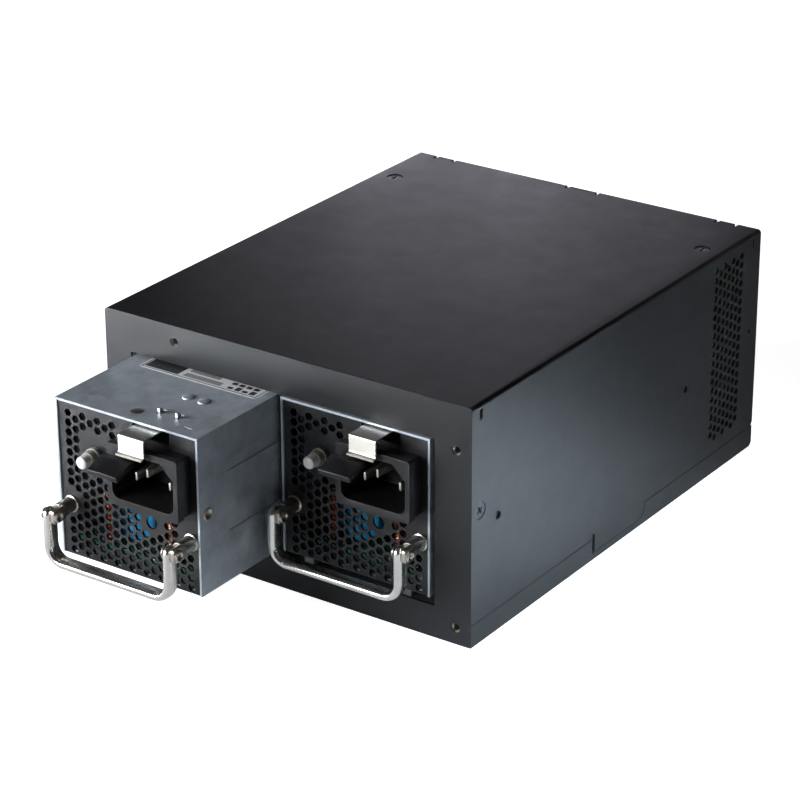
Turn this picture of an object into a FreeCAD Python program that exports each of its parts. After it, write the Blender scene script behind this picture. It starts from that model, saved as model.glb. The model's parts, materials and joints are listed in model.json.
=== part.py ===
"""Hot-swap server power supply: a steel cage in the PS2 form with two pull-out power modules side by side.

Millimetres. The origin is the centre of the cage's bottom face, +X is to the right seen from the front,
+Y runs from the front to the rear and +Z is up. Each module is built in its own frame, with x from its
left edge, y from the front edge of its shell and z from the bottom of the cage, and is then put in its bay.
At rest the right module is seated and the left one is pulled out part of the way.
"""

import FreeCAD, Part
import math
import os

V = FreeCAD.Vector
X_AXIS = V(1, 0, 0)
Y_AXIS = V(0, 1, 0)
Z_AXIS = V(0, 0, 1)

# Cage: outer size, sheet and the folds of its cover, tray, front and rear.
case_width = 150.0
case_height = 86.0
case_depth = 190.0
case_sheet = 1.0
cover_bend_radius = 1.3
tray_flange_height = 8.1
seam_gap = 0.3
fold_depth = 11.0
fold_clearance = 1.0
tongue_start = 77.5
tongue_length = 33.5
tongue_bottom = 3.0
tongue_radius = 3.0
tray_tab_starts = (30.0, 118.0)
tray_tab_length = 28.0
tray_tab_height = 15.0
relief_width = 1.5
edge_slot_height = 3.6
edge_slot_from_top = 1.9
front_slot_width = 1.8
front_slot_inset = 4.2
rear_slot_width = 1.0
rear_slot_inset = 4.9
front_spare_hole = (15.75, 42.4, 1.5)
rear_spare_holes = ((52.0, 41.8, 1.3), (5.8, 48.0, 0.9))
hook_left_inset = 13.0
hook_middle_shift = -0.2
hook_right_inset = 13.8
hook_widths = (7.4, 12.2, 6.8)
hook_notch_depth = 1.3
hook_relief_width = 1.0
hook_relief_depth = 2.8

# Side vent: a honeycomb of columns, counted from the rear edge and the top of the right side.
vent_columns = 7
vent_pitch = 3.56
vent_hole_across = 2.6
vent_from_rear = 13.9
vent_from_top = 5.7
vent_foot = 4.0

# Chassis screw holes of the PS2 form, threaded in drawn collars in the front plate.
chassis_hole_radius = 1.65
chassis_collar_wall = 0.8
chassis_collar_length = 2.0
chassis_edge_inset = 6.0
chassis_top_hole_x = 30.0
chassis_right_hole_drop = 16.0

# Cover screws: countersunk heads flush with the sheet.
screw_head_radius = 3.0
screw_shank_radius = 1.45
screw_length = 5.0
screw_clearance = 0.05
top_screw_inset_x = 8.4
side_screw_y = 5.1
side_screw_z = 48.3

# The bays, and the room that the cage leaves beside, above and behind the modules.
bay_left_margin = 10.9
bay_right_margin = 14.3
room_above_module = 14.7
room_behind_module = 40.0
module_floor = 14.2
module_gap = 1.9
bay_side_gap = 1.85
bay_headroom = 0.7
bay_bottom_gap = 2.5
bay_sheet = 1.0
divider_sheet = 0.8
runner_width = 4.0
runner_inset = 8.0
runner_clearance = 0.1
left_pull_out = 42.0

# Shell of a module: its sheet, the beads in its sides and the crescent slit in its top.
shell_sheet = 0.8
bead_above_floor = 20.4
bead_below_top = 15.0
bead_start = 13.5
bead_end_margin = 10.0
bead_width = 4.5
bead_depth = 0.35
slit_right_inset = 7.9
slit_y = 4.9
slit_length = 3.8
slit_width = 1.1
slit_bow = 0.5

# Front panel of a module, with its honeycomb.
panel_recess = 0.6
panel_sheet = 1.0
panel_fold_depth = 6.0
panel_fold_inset = 6.0
grille_pitch = 3.607
grille_hole_across = 2.7
grille_first_x = 4.9
grille_side_margin = 4.6
grille_floor_margin = 0.45
grille_top_drop = 4.65
button_land = (6.7, 5.9, 8.0, 8.5)
inlet_land = (4.9, 3.6)
latch_land = (1.8, 2.8)
peep_hole_inset = 11.8
peep_hole_drop = 7.2
peep_hole_radius = 2.35
peep_hole_rim = 2.25
notch_inset = 5.4
notch_width = 15.3
notch_depth = 5.6

# Mains inlet, placed from the right side and the top of the module.
inlet_right_margin = 3.3
inlet_top_drop = 6.5
inlet_width = 29.2
inlet_height = 22.2
inlet_proud = 6.8
inlet_flange = 3.0
inlet_step = 0.5
inlet_body_inset = 1.3
inlet_body_end = 13.0
inlet_back_wall = 2.0
inlet_rim_left = 2.0
inlet_rim_bottom = 2.7
recess_width = 25.4
recess_height = 17.0
recess_chamfer = 5.0
recess_radius = 3.0
inlet_corner_radius = 1.0
blade_width = 2.0
blade_height = 4.0
blade_pitch = 14.0
blade_drop = 1.8
earth_rise = 4.0
blade_tip_depth = 5.5
earth_tip_depth = 2.8
blade_tail = 7.0
cutout_clearance = 0.1

# Bail handle, its posts and rivets.
post_inset = 4.9
post_radius = 2.6
post_tail_radius = 1.9
post_tail_length = 2.0
post_right_shift = 0.9
post_drop = 9.3
bail_pivot_reach = 10.0
post_body_end = 6.9
ear_root = 1.0
ear_offset = 0.9
bail_thickness = 3.2
bail_depth = 5.6
bail_side_gap = 0.1
bail_drop = 18.3
bail_corner_radius = 7.5
bail_edge_chamfer = 0.9
bail_rivet_radius = 1.2
bail_rivet_clearance = 0.05
bail_rivet_head_radius = 2.1
bail_rivet_ring_radius = 1.9
bail_rivet_head = 1.1

# Latch: a leaf riveted under the shell's top, with two teeth and a press tab.
leaf_sheet = 0.6
leaf_inset = 6.7
leaf_width = 12.8
leaf_nose_width = 10.6
leaf_drop_below_shell = 0.3
leaf_reach = 8.9
leaf_nose_height = 7.0
leaf_tail = 27.0
leaf_wide_from = 2.6
tooth_y = 9.2
tooth_length = 2.6
tooth_crest = 1.04
tooth_width = 1.2
tooth_rise = 1.6
tooth_insets = (2.9, 10.2)
tooth_slot_gap = 0.5
latch_rivet_insets = (3.1, 9.6)
latch_rivet_y = 24.5
latch_rivet_radius = 1.4
latch_rivet_hole_gap = 0.12
latch_rivet_head_radius = 2.25
latch_rivet_head = 0.5
latch_rivet_foot_radius = 1.8
latch_rivet_foot_gap = 0.3
lip_length = 1.8
tab_inset = 1.2
tab_width = 12.5
tab_sheet = 2.0
tab_reach = 19.0
tab_tip_drop = 2.9
tab_shoulder = 1.5
tab_shoulder_drop = 1.2
tab_knee_drop = 0.4
tab_top_radius = 4.0
tab_under_radius = 5.0
tab_tip_radius = 0.6

# Reset button and its switch.
button_to_inlet = 10.8
button_drop = 17.3
button_radius = 2.2
button_proud = 8.0
button_length = 6.6
button_bore_gap = 0.1
collar_radius = 2.7
collar_proud = 5.0
switch_size = 8.0
switch_depth = 6.0
switch_bore_depth = 2.4

# Boards and what stands on them.
board_sheet = 1.6
board_standoff = 4.2
board_inset = 3.0
board_front = 3.0
board_rear_gap = 3.0
tongue_width = 32.0
tongue_reach = 6.0
emboss_radius = 2.5
emboss_inset = 8.0
capacitor_headroom = 3.8
capacitor_length = 35.0
capacitor_to_inlet = 3.5
capacitor_front = 9.5
choke_radius = 2.2
choke_core_radius = 2.8
choke_core_height = 1.2
choke_y = 6.0
left_choke_x = 17.0
left_choke_headroom = 1.2
right_choke_inset = 15.6
right_choke_headroom = 4.2
transformer_start = 66.0
transformer_core = (34.0, 30.0, 10.0)
transformer_coil = (26.0, 24.0, 9.0)
transformer_gap = 1.5
heatsink_left = 5.5
heatsink_gap = 1.5
heatsink_to_fan = 3.2
heatsink_headroom = 14.5
heatsink_web = 2.0
heatsink_fin_reach = 7.0
heatsink_fin_sheet = 1.2
heatsink_fins = 8

# Fan at the rear of a module.
fan_floor_gap = 11.8
fan_headroom = 5.3
fan_depth = 20.0
fan_wall = 1.4
fan_hub_radius = 9.0
fan_hub_length = 12.0
fan_tip_gap = 0.7
fan_blade_root = 1.5
fan_blade_sheet = 1.2
fan_blade_chord = 9.0
fan_blade_pitch = 38.0
fan_blades = 7
fan_shaft_radius = 1.5
fan_shaft_gap = 0.05
fan_boss_radius = 7.0
fan_boss_length = 3.0
fan_strut_width = 2.0
fan_strut_root = 0.5
fan_struts = 4
fan_strut_turn = 45.0
fan_hub_gap = 0.8

# Backplane, its sockets and bracket, and the standby converter beside the vent.
socket_gap = 1.0
socket_width = 36.0
socket_height = 10.0
socket_depth = 7.0
socket_slot_clearance = 0.25
bay_past_socket_gap = 1.0
backplane_margin = 3.0
backplane_standoff = 1.4
bracket_flange_front = 5.5
bracket_flange_rear = 6.5
bracket_side_margin = 5.0
bracket_window_side_margin = 7.8
bracket_window_edge_margin = 15.15
standoff_across = 5.0
converter_gap = 3.5
converter_before_bracket = 7.0
converter_rear_gap = 3.0
converter_bottom = 12.0
converter_top_gap = 8.0
converter_parts = ((6.0, 56.0, 5.0, 4.0), (16.0, 48.0, 6.5, 4.5), (8.0, 38.0, 4.0, 2.5),
                   (20.0, 32.0, 5.0, 3.0), (10.0, 22.0, 6.5, 4.5), (19.0, 12.0, 4.5, 3.0))
buzzer_radius = 6.0
buzzer_length = 9.0
buzzer_inset = 35.0
buzzer_drop = 10.0

# Rear panel: outlet for the output cables and air slots.
outlet_inset = 35.0
outlet_z = 42.0
outlet_radius = 15.0
grommet_wall = 2.5
grommet_lip = 2.0
grommet_lip_sheet = 1.6
slot_rows = 9
slot_pitch = 6.0
slot_height = 3.0
slot_to_lip = 19.0
slot_right_margin = 17.0
slot_bottom = 18.0
rear_fold_step = 1.0

# Fasteners of a module.
shell_rivet_y = 4.3
shell_rivet_z = 43.0
shell_rivet_radius = 1.5
shell_rivet_head_radius = 2.25
shell_rivet_head = 0.4
top_rivet_y = 6.4

# Places and sizes that follow from the sizes above.
left = -case_width / 2
right = case_width / 2
front = -case_depth / 2
rear = case_depth / 2
inner_left = left + case_sheet
inner_right = right - case_sheet
inner_front = front + case_sheet
inner_rear = rear - case_sheet
inner_top = case_height - case_sheet
flange_top = tray_flange_height
cover_bottom = flange_top + seam_gap
column_step = math.cos(math.radians(30))
vent_rows = int((case_height - vent_from_top - cover_bottom - vent_foot) / vent_pitch)
bay_x0 = left + bay_left_margin
bay_x1 = right - bay_right_margin
module_width = (bay_x1 - bay_x0 - 2 * bay_side_gap - module_gap) / 2
module_top = case_height - room_above_module
module_height = module_top - module_floor
module_length = case_depth - room_behind_module
bay_bottom = module_floor - bay_bottom_gap
bay_top = module_top + bay_headroom
module_x = {"left": bay_x0 + bay_side_gap, "right": bay_x0 + bay_side_gap + module_width + module_gap}
module_y = {"left": front - left_pull_out, "right": front}
divider_x = bay_x0 + bay_side_gap + module_width + module_gap / 2
panel_back = panel_recess + panel_sheet
shell_under = module_top - shell_sheet
tray_top = module_floor + shell_sheet
board_bottom = tray_top + board_standoff
board_top = board_bottom + board_sheet
board_rear = module_length - board_rear_gap
inlet_left = module_width - inlet_right_margin - inlet_width
inlet_top = module_top - inlet_top_drop
inlet_bottom = inlet_top - inlet_height
button_x = inlet_left - button_to_inlet
button_z = module_top - button_drop
grille_columns = 1 + int((module_width - grille_first_x - grille_side_margin) / (grille_pitch * column_step))
grille_rows = int(module_height / grille_pitch)
post_xs = (post_inset, module_width - post_inset + post_right_shift)
post_z = inlet_bottom - post_drop
leaf_left = inlet_left + leaf_inset
leaf_top = shell_under - leaf_drop_below_shell
leaf_bottom = leaf_top - leaf_sheet
tooth_xs = [leaf_left + inset for inset in tooth_insets]
latch_rivet_xs = [leaf_left + inset for inset in latch_rivet_insets]
top_rivet = (module_width / 2, top_rivet_y)
nose_bottom = leaf_top - leaf_nose_height
tab_left = inlet_left + tab_inset
tab_tip_top = nose_bottom - tab_tip_drop
capacitor_radius = (inlet_bottom - board_top - capacitor_headroom) / 2
capacitor_x = inlet_left - capacitor_to_inlet
fan_size = module_height - fan_floor_gap - fan_headroom
fan_centre_x = module_width / 2
fan_centre_z = module_top - fan_headroom - fan_size / 2
fan_bore_radius = fan_size / 2 - fan_wall
fan_blade_radius = fan_bore_radius - fan_tip_gap
fan_rear = module_length - shell_sheet
fan_front = fan_rear - fan_depth
heatsink_start = capacitor_front + capacitor_length + heatsink_gap
heatsink_end = fan_front - heatsink_to_fan
heatsink_height = module_top - board_top - heatsink_headroom
heatsink_right = heatsink_left + heatsink_web + heatsink_fin_reach
socket_front = front + module_length + socket_gap
bay_rear = socket_front + bay_past_socket_gap
backplane_front = socket_front + socket_depth
backplane_rear = backplane_front + board_sheet
bracket_front = backplane_rear + backplane_standoff
bracket_rear = bracket_front + case_sheet
top_screw_y = (bracket_front + bracket_rear) / 2
outlet_x = left + outlet_inset
converter_front = bracket_front - converter_before_bracket
converter_rear = inner_rear - converter_rear_gap
converter_top = case_height - converter_top_gap
converter_x0 = bay_x1 + bay_sheet + converter_gap
converter_x1 = converter_x0 + board_sheet


def block(x, y, z):
    """A box from three (low, high) pairs."""
    return Part.makeBox(x[1] - x[0], y[1] - y[0], z[1] - z[0], V(x[0], y[0], z[0]))


def rod(radius, start, axis, length):
    return Part.makeCylinder(radius, length, start, axis)


def cone(radius_start, radius_end, start, axis, length):
    return Part.makeCone(radius_start, radius_end, length, start, axis)


def on_xz(y):
    return lambda a, b: V(a, y, b)


def on_yz(x):
    return lambda a, b: V(x, a, b)


def on_xy(z):
    return lambda a, b: V(a, b, z)


def outline(corners, at):
    """A closed wire through corners (a, b) or (a, b, radius), rounded by arcs where a radius is given."""
    ends = []
    for i, corner in enumerate(corners):
        here = at(*corner[:2])
        radius = corner[2] if len(corner) > 2 else 0
        if not radius:
            ends.append((here, None, here))
            continue
        back = (at(*corners[i - 1][:2]) - here).normalize()
        ahead = (at(*corners[(i + 1) % len(corners)][:2]) - here).normalize()
        half = back.getAngle(ahead) / 2
        reach = radius / math.tan(half)
        middle = (back + ahead).normalize()
        crown = here + middle * (radius / math.sin(half) - radius)
        ends.append((here + back * reach, crown, here + ahead * reach))
    edges = []
    for i, (start, crown, stop) in enumerate(ends):
        if crown is not None:
            edges.append(Part.Arc(start, crown, stop).toShape())
        following = ends[(i + 1) % len(ends)][0]
        if stop.distanceToPoint(following) > 1e-6:
            edges.append(Part.LineSegment(stop, following).toShape())
    return Part.Wire(edges)


def rectangle(a, b, at, radius=0):
    a0, a1 = a
    b0, b1 = b
    return outline([(a0, b0, radius), (a1, b0, radius), (a1, b1, radius), (a0, b1, radius)], at)


def round_hole(a, b, radius, at):
    centre = at(a, b)
    normal = (at(a + 1, b) - centre).cross(at(a, b + 1) - centre)
    return Part.Wire([Part.Circle(centre, normal, radius).toShape()])


def hexagon(a, b, across, at):
    """A hexagon with flats above and below."""
    radius = across / math.sqrt(3)
    turns = [math.radians(60 * i) for i in range(6)]
    return outline([(a + radius * math.cos(t), b + radius * math.sin(t)) for t in turns], at)


def sheet(outer, holes, push):
    """A flat sheet with holes, from wires in one plane, given its thickness by a vector."""
    return Part.makeFace([outer] + holes, "Part::FaceMakerBullseye").extrude(push)


def join(*shapes):
    first, rest = shapes[0], list(shapes[1:])
    return first.fuse(rest).removeSplitter() if rest else first


def cut(shape, *tools):
    return shape.cut(list(tools)).removeSplitter()


def honeycomb(first_a, top_b, columns, rows, pitch):
    """Centres of a honeycomb: every second column is half a pitch lower."""
    for column in range(columns):
        for row in range(rows):
            yield (first_a + column * pitch * column_step,
                   top_b - row * pitch - (column % 2) * pitch / 2)


# ---------------------------------------------------------------- cage

def cover_side_outline(at):
    """One side of the cover: straight, but for the tongue that dips into the tray's flange."""
    start = front + tongue_start
    end = start + tongue_length
    return outline([
        (front, cover_bottom),
        (start - relief_width, cover_bottom),
        (start - relief_width, cover_bottom + relief_width),
        (start, cover_bottom + relief_width),
        (start, tongue_bottom),
        (end, tongue_bottom, tongue_radius),
        (end, cover_bottom),
        (rear, cover_bottom, 2 * case_sheet),
        (rear, case_height),
        (front, case_height),
    ], at)


def cover_side_holes(at, vented):
    slot_z = (case_height - edge_slot_from_top - edge_slot_height, case_height - edge_slot_from_top)
    front_slot = front + front_slot_inset
    rear_slot = rear - rear_slot_inset
    holes = [
        rectangle((front_slot, front_slot + front_slot_width), slot_z, at),
        rectangle((rear_slot - rear_slot_width, rear_slot), slot_z, at),
        round_hole(front + side_screw_y, side_screw_z, screw_head_radius + screw_clearance, at),
    ]
    y, z, radius = front_spare_hole
    holes.append(round_hole(front + y, z, radius, at))
    holes += [round_hole(rear - y, z, radius, at) for y, z, radius in rear_spare_holes]
    if vented:
        first = rear - vent_from_rear - (vent_columns - 1) * vent_pitch * column_step
        centres = honeycomb(first, case_height - vent_from_top, vent_columns, vent_rows, vent_pitch)
        holes += [hexagon(y, z, vent_hole_across, at) for y, z in centres]
    return holes


def hook_spans():
    """Both ends in x of each hook's notch, from left to right."""
    centres = (left + hook_left_inset, hook_middle_shift, right - hook_right_inset)
    return [(centre - width / 2, centre + width / 2) for centre, width in zip(centres, hook_widths)]


def make_top_cover():
    """Top and both sides, folded from one sheet."""
    corners = [(left, front), (right, front), (right, rear)]
    notch = rear - hook_notch_depth
    relief = rear - hook_relief_depth
    for x0, x1 in reversed(hook_spans()):
        outer_x0 = x0 - hook_relief_width
        outer_x1 = x1 + hook_relief_width
        corners += [(outer_x1, rear), (outer_x1, relief), (x1, relief), (x1, notch)]
        corners += [(x0, notch), (x0, relief), (outer_x0, relief), (outer_x0, rear)]
    corners.append((left, rear))
    screw_xs = (left + top_screw_inset_x, right - top_screw_inset_x)
    at = on_xy(inner_top)
    screw_holes = [round_hole(x, top_screw_y, screw_head_radius + screw_clearance, at) for x in screw_xs]
    top = sheet(outline(corners, at), screw_holes, V(0, 0, case_sheet))
    sides = []
    for x, vented in ((left, False), (inner_right, True)):
        at = on_yz(x)
        sides.append(sheet(cover_side_outline(at), cover_side_holes(at, vented), V(case_sheet, 0, 0)))
    cover = join(top, *sides)
    bends = [e for e in cover.Edges if abs(e.CenterOfMass.z - case_height) < 1e-6
             and abs(abs(e.CenterOfMass.x) - right) < 1e-6]
    return cover.makeFillet(cover_bend_radius, bends)


def make_base_tray():
    """Floor with low flanges in line with the cover's sides, and tabs that stand behind them."""
    floor = block((left, right), (inner_front, inner_rear), (0, case_sheet))
    start = front + tongue_start
    end = start + tongue_length
    pieces = [floor]
    for x in (left, inner_right):
        at = on_yz(x)
        flange = sheet(outline([
            (front, 0), (rear, 0, 2 * case_sheet), (rear, flange_top), (end + seam_gap, flange_top),
            (end + seam_gap, tongue_bottom - seam_gap, tongue_radius),
            (start - relief_width, tongue_bottom - seam_gap),
            (start - relief_width, flange_top), (front, flange_top),
        ], at), [], V(case_sheet, 0, 0))
        pieces.append(flange)
    for x0 in (inner_left, inner_right - case_sheet):
        for y in tray_tab_starts:
            pieces.append(block((x0, x0 + case_sheet), (front + y, front + y + tray_tab_length),
                                (0, tray_tab_height)))
    return join(*pieces)


def chassis_holes():
    """Centres (x, z) of the four chassis screw holes of the form."""
    low = chassis_edge_inset
    return (
        (left + low, low),
        (right - low, low),
        (right - low, case_height - chassis_right_hole_drop),
        (left + chassis_top_hole_x, case_height - low),
    )


def side_folds(y, holes_at=None):
    """Two folds behind the cover's sides, from a front or rear plate."""
    folds = []
    for x0 in (inner_left, inner_right - case_sheet):
        holes = [round_hole(*holes_at, screw_shank_radius + screw_clearance, on_yz(x0))] if holes_at else []
        outer = rectangle(y, (2 * case_sheet, inner_top - fold_clearance), on_yz(x0))
        folds.append(sheet(outer, holes, V(case_sheet, 0, 0)))
    return folds


def make_front_frame():
    """Front plate with the bay opening, threaded collars for the chassis screws and folded edges."""
    at = on_xz(front)
    holes = [rectangle((bay_x0, bay_x1), (bay_bottom, bay_top), at)]
    holes += [round_hole(x, z, chassis_hole_radius, at) for x, z in chassis_holes()]
    plate = sheet(rectangle((inner_left, inner_right), (0, inner_top), at), holes, V(0, case_sheet, 0))
    collars = []
    for x, z in chassis_holes():
        mouth = V(x, inner_front, z)
        tube = rod(chassis_hole_radius + chassis_collar_wall, mouth, Y_AXIS, chassis_collar_length)
        collars.append(tube.cut(rod(chassis_hole_radius, mouth, Y_AXIS, chassis_collar_length)))
    folds = side_folds((inner_front, inner_front + fold_depth), (front + side_screw_y, side_screw_z))
    return join(plate, *collars, *folds)


def rear_slots(at):
    """Air slots beside the cable outlet."""
    x = (outlet_x + outlet_radius + grommet_lip + slot_to_lip, right - slot_right_margin)
    slots = []
    for row in range(slot_rows):
        z = slot_bottom + row * slot_pitch
        slots.append(rectangle(x, (z, z + slot_height), at))
    return slots


def make_rear_panel():
    """Rear plate with the cable outlet, air slots, folds, and hooks that fill the notches of the cover."""
    at = on_xz(inner_rear)
    holes = rear_slots(at) + [round_hole(outlet_x, outlet_z, outlet_radius, at)]
    plate = sheet(rectangle((inner_left, inner_right), (0, inner_top), at), holes, V(0, case_sheet, 0))
    hooks = [block((x0 + seam_gap, x1 - seam_gap), (inner_rear, rear), (inner_top, case_height))
             for x0, x1 in hook_spans()]
    return join(plate, *hooks, *side_folds((inner_rear - fold_depth + rear_fold_step, inner_rear)))


def make_cable_grommet():
    """Bush that lines the cable outlet, with a lip on each side of the rear plate."""
    inner = outlet_radius - grommet_wall
    lip = outlet_radius + grommet_lip
    start = V(outlet_x, inner_rear - grommet_lip_sheet, outlet_z)
    length = case_sheet + 2 * grommet_lip_sheet
    bush = join(
        rod(outlet_radius, start, Y_AXIS, length),
        rod(lip, start, Y_AXIS, grommet_lip_sheet),
        rod(lip, V(outlet_x, rear, outlet_z), Y_AXIS, grommet_lip_sheet),
    )
    return cut(bush, rod(inner, start, Y_AXIS, length))


def make_bay_tray():
    """Floor and walls of the bays, with the runners that the modules slide on."""
    y = (inner_front, bay_rear)
    pieces = [block((bay_x0, bay_x1), y, (bay_bottom - bay_sheet, bay_bottom))]
    for x0 in (bay_x0 - bay_sheet, bay_x1):
        pieces.append(block((x0, x0 + bay_sheet), y, (case_sheet, bay_top)))
    for x in module_x.values():
        for edge in (runner_inset, module_width - runner_inset - runner_width):
            pieces.append(block((x + edge, x + edge + runner_width), y,
                                (bay_bottom, module_floor - runner_clearance)))
    return join(*pieces)


def make_bay_roof():
    """Roof of the bays, with a window in each for the latch teeth."""
    at = on_xy(bay_top)
    windows = []
    for x in module_x.values():
        windows.append(rectangle(
            (x + tooth_xs[0] - tooth_width - tooth_slot_gap, x + tooth_xs[1] + tooth_width + tooth_slot_gap),
            (front + tooth_y - tooth_slot_gap, front + tooth_y + tooth_length + tooth_slot_gap), at))
    outer = rectangle((bay_x0 - bay_sheet, bay_x1 + bay_sheet), (inner_front, bay_rear), at)
    return sheet(outer, windows, V(0, 0, bay_sheet))


def make_bay_divider():
    x = (divider_x - divider_sheet / 2, divider_x + divider_sheet / 2)
    return block(x, (inner_front, bay_rear), (bay_bottom, bay_top))


def make_backplane_board():
    x = (bay_x0 + backplane_margin, bay_x1 - backplane_margin)
    z = (bay_bottom, bay_top)
    return block(x, (backplane_front, backplane_rear), z)


def make_module_sockets():
    """Card-edge sockets on the backplane, one behind each module."""
    sockets = []
    middle_z = board_bottom + board_sheet / 2
    for x in module_x.values():
        centre = x + module_width / 2
        body = block((centre - socket_width / 2, centre + socket_width / 2), (socket_front, backplane_front),
                     (middle_z - socket_height / 2, middle_z + socket_height / 2))
        reach = tongue_width / 2 + socket_slot_clearance
        slot = block((centre - reach, centre + reach),
                     (socket_front, front + module_length + tongue_reach + socket_slot_clearance),
                     (board_bottom - socket_slot_clearance, board_top + socket_slot_clearance))
        sockets.append(cut(body, slot))
    return sockets


def make_backplane_bracket():
    """Upright plate behind the backplane: its top flange takes the cover screws, its return the converter."""
    x = (bay_x0 - bay_sheet, bay_x1 + bay_sheet)
    at = on_xz(bracket_front)
    z = (bay_bottom + bracket_window_edge_margin, bay_top - bracket_window_edge_margin)
    near = bracket_window_side_margin
    windows = [rectangle((x0 + near, x0 + module_width - near), z, at) for x0 in module_x.values()]
    plate = sheet(rectangle(x, (case_sheet, inner_top), at), windows, V(0, case_sheet, 0))
    at = on_xy(inner_top - case_sheet)
    screw_xs = (left + top_screw_inset_x, right - top_screw_inset_x)
    holes = [round_hole(c, top_screw_y, screw_shank_radius + screw_clearance, at) for c in screw_xs]
    outer = rectangle((left + bracket_side_margin, right - bracket_side_margin),
                      (bracket_front - bracket_flange_front, bracket_rear + bracket_flange_rear), at)
    flange = sheet(outer, holes, V(0, 0, case_sheet))
    side = block((bay_x1, bay_x1 + bay_sheet), (bracket_front, converter_rear),
                 (converter_bottom, converter_top))
    return join(plate, flange, side)


def make_board_standoffs():
    """Hexagonal spacers of the backplane and of the converter board."""
    spacers = []
    at = on_xz(backplane_rear)
    for x in (bay_x0 + 2 * backplane_margin, bay_x1 - 2 * backplane_margin):
        for z in (bay_bottom + backplane_margin, bay_top - backplane_margin):
            spacers.append(sheet(hexagon(x, z, standoff_across, at), [], V(0, backplane_standoff, 0)))
    at = on_yz(bay_x1 + bay_sheet)
    for y in (bracket_rear + standoff_across, converter_rear - standoff_across):
        for z in (converter_bottom + standoff_across, converter_top - standoff_across):
            spacers.append(sheet(hexagon(y, z, standoff_across, at), [], V(converter_gap, 0, 0)))
    return spacers


def make_converter_board():
    return block((converter_x0, converter_x1), (converter_front, converter_rear),
                 (converter_bottom, converter_top))


def make_converter_parts():
    """Chips and chokes on the side of the converter board that faces the vent."""
    parts = []
    for along, drop, size, height in converter_parts:
        y = converter_front + along
        z = converter_top - drop
        parts.append(block((converter_x1, converter_x1 + height), (y, y + size), (z, z + size)))
    return parts


def make_alarm_buzzer():
    start = V(left + buzzer_inset, bracket_rear, case_height - buzzer_drop)
    return rod(buzzer_radius, start, Y_AXIS, buzzer_length)


def countersunk_screw(head_centre, axis, sheet_below):
    """Flush head in one sheet and a shank through the sheet below it."""
    head = cone(screw_head_radius, screw_head_radius - case_sheet / 2, head_centre, axis, case_sheet)
    shank_start = head_centre + axis * case_sheet
    return join(head, rod(screw_shank_radius, shank_start, axis, sheet_below + screw_length))


def make_cover_screws():
    screws = []
    for x in (left + top_screw_inset_x, right - top_screw_inset_x):
        screws.append(countersunk_screw(V(x, top_screw_y, case_height), V(0, 0, -1), case_sheet))
    for x, axis in ((left, X_AXIS), (right, V(-1, 0, 0))):
        screws.append(countersunk_screw(V(x, front + side_screw_y, side_screw_z), axis, case_sheet))
    return screws


# ---------------------------------------------------------------- module

def side_beads():
    """Grooves pressed into the outside of both sides of the shell."""
    beads = []
    y0 = bead_start
    y1 = module_length - bead_end_margin
    half = bead_width / 2
    for x in (0, module_width - bead_depth):
        for z in (module_floor + bead_above_floor, module_top - bead_below_top):
            corners = [(y0 + half, z - half), (y1 - half, z - half), (y1, z), (y1 - half, z + half),
                       (y0 + half, z + half), (y0, z)]
            beads.append(sheet(outline(corners, on_yz(x)), [], V(bead_depth, 0, 0)))
    return beads


def crescent_slit(at):
    """A crescent between two arcs, with its horns towards the rear."""
    x = module_width - slit_right_inset
    half = slit_length / 2
    horns = [at(x + side * half, slit_y + slit_width / 2) for side in (-1, 1)]
    deep = Part.Arc(horns[0], at(x, slit_y - slit_width / 2), horns[1])
    shallow = Part.Arc(horns[1], at(x, slit_y + slit_bow), horns[0])
    return Part.Wire([deep.toShape(), shallow.toShape()])


def make_shell():
    """Top and sides of a module."""
    y = (0, module_length)
    at = on_xy(shell_under)
    rivet_hole = latch_rivet_radius + screw_clearance
    openings = [round_hole(x, latch_rivet_y, rivet_hole, at) for x in latch_rivet_xs]
    openings.append(round_hole(*top_rivet, shell_rivet_radius + screw_clearance, at))
    openings.append(crescent_slit(at))
    for x in tooth_xs:
        reach = tooth_width / 2 + tooth_slot_gap
        openings.append(rectangle((x - reach, x + reach),
                                  (tooth_y - tooth_slot_gap, tooth_y + tooth_length + tooth_slot_gap), at))
    top = sheet(rectangle((0, module_width), y, at), openings, V(0, 0, shell_sheet))
    sides = []
    for x in (0, module_width - shell_sheet):
        at = on_yz(x)
        hole = round_hole(shell_rivet_y, shell_rivet_z, shell_rivet_radius + screw_clearance, at)
        sides.append(sheet(rectangle(y, (module_floor, module_top), at), [hole], V(shell_sheet, 0, 0)))
    shell = join(top, *sides)
    return cut(shell, *side_beads())


def make_tray():
    """Bottom of a module, with drawn seats that carry the main board."""
    x = (shell_sheet, module_width - shell_sheet)
    floor = block(x, (panel_back, module_length - shell_sheet), (module_floor, tray_top))
    seats = []
    for seat_x in (emboss_inset, module_width - emboss_inset):
        for seat_y in (board_front + emboss_inset, board_rear - emboss_inset):
            seats.append(rod(emboss_radius, V(seat_x, seat_y, tray_top), Z_AXIS, board_standoff))
    return join(floor, *seats)


def peep_hole():
    """Centre and radius of the round hole below the inlet."""
    return inlet_left + peep_hole_inset, inlet_bottom - peep_hole_drop, peep_hole_radius


def solid_zones():
    """Parts of the panel without grille holes, round the button, the inlet and the latch: x0, x1, z0, z1."""
    to_left, to_right, below, above = button_land
    return (
        (button_x - to_left, button_x + to_right, button_z - below, button_z + above),
        (inlet_left - inlet_land[0], module_width, inlet_bottom - inlet_land[1], inlet_top - latch_land[1]),
        (inlet_left - latch_land[0], module_width, inlet_top - latch_land[1], module_top),
    )


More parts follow.
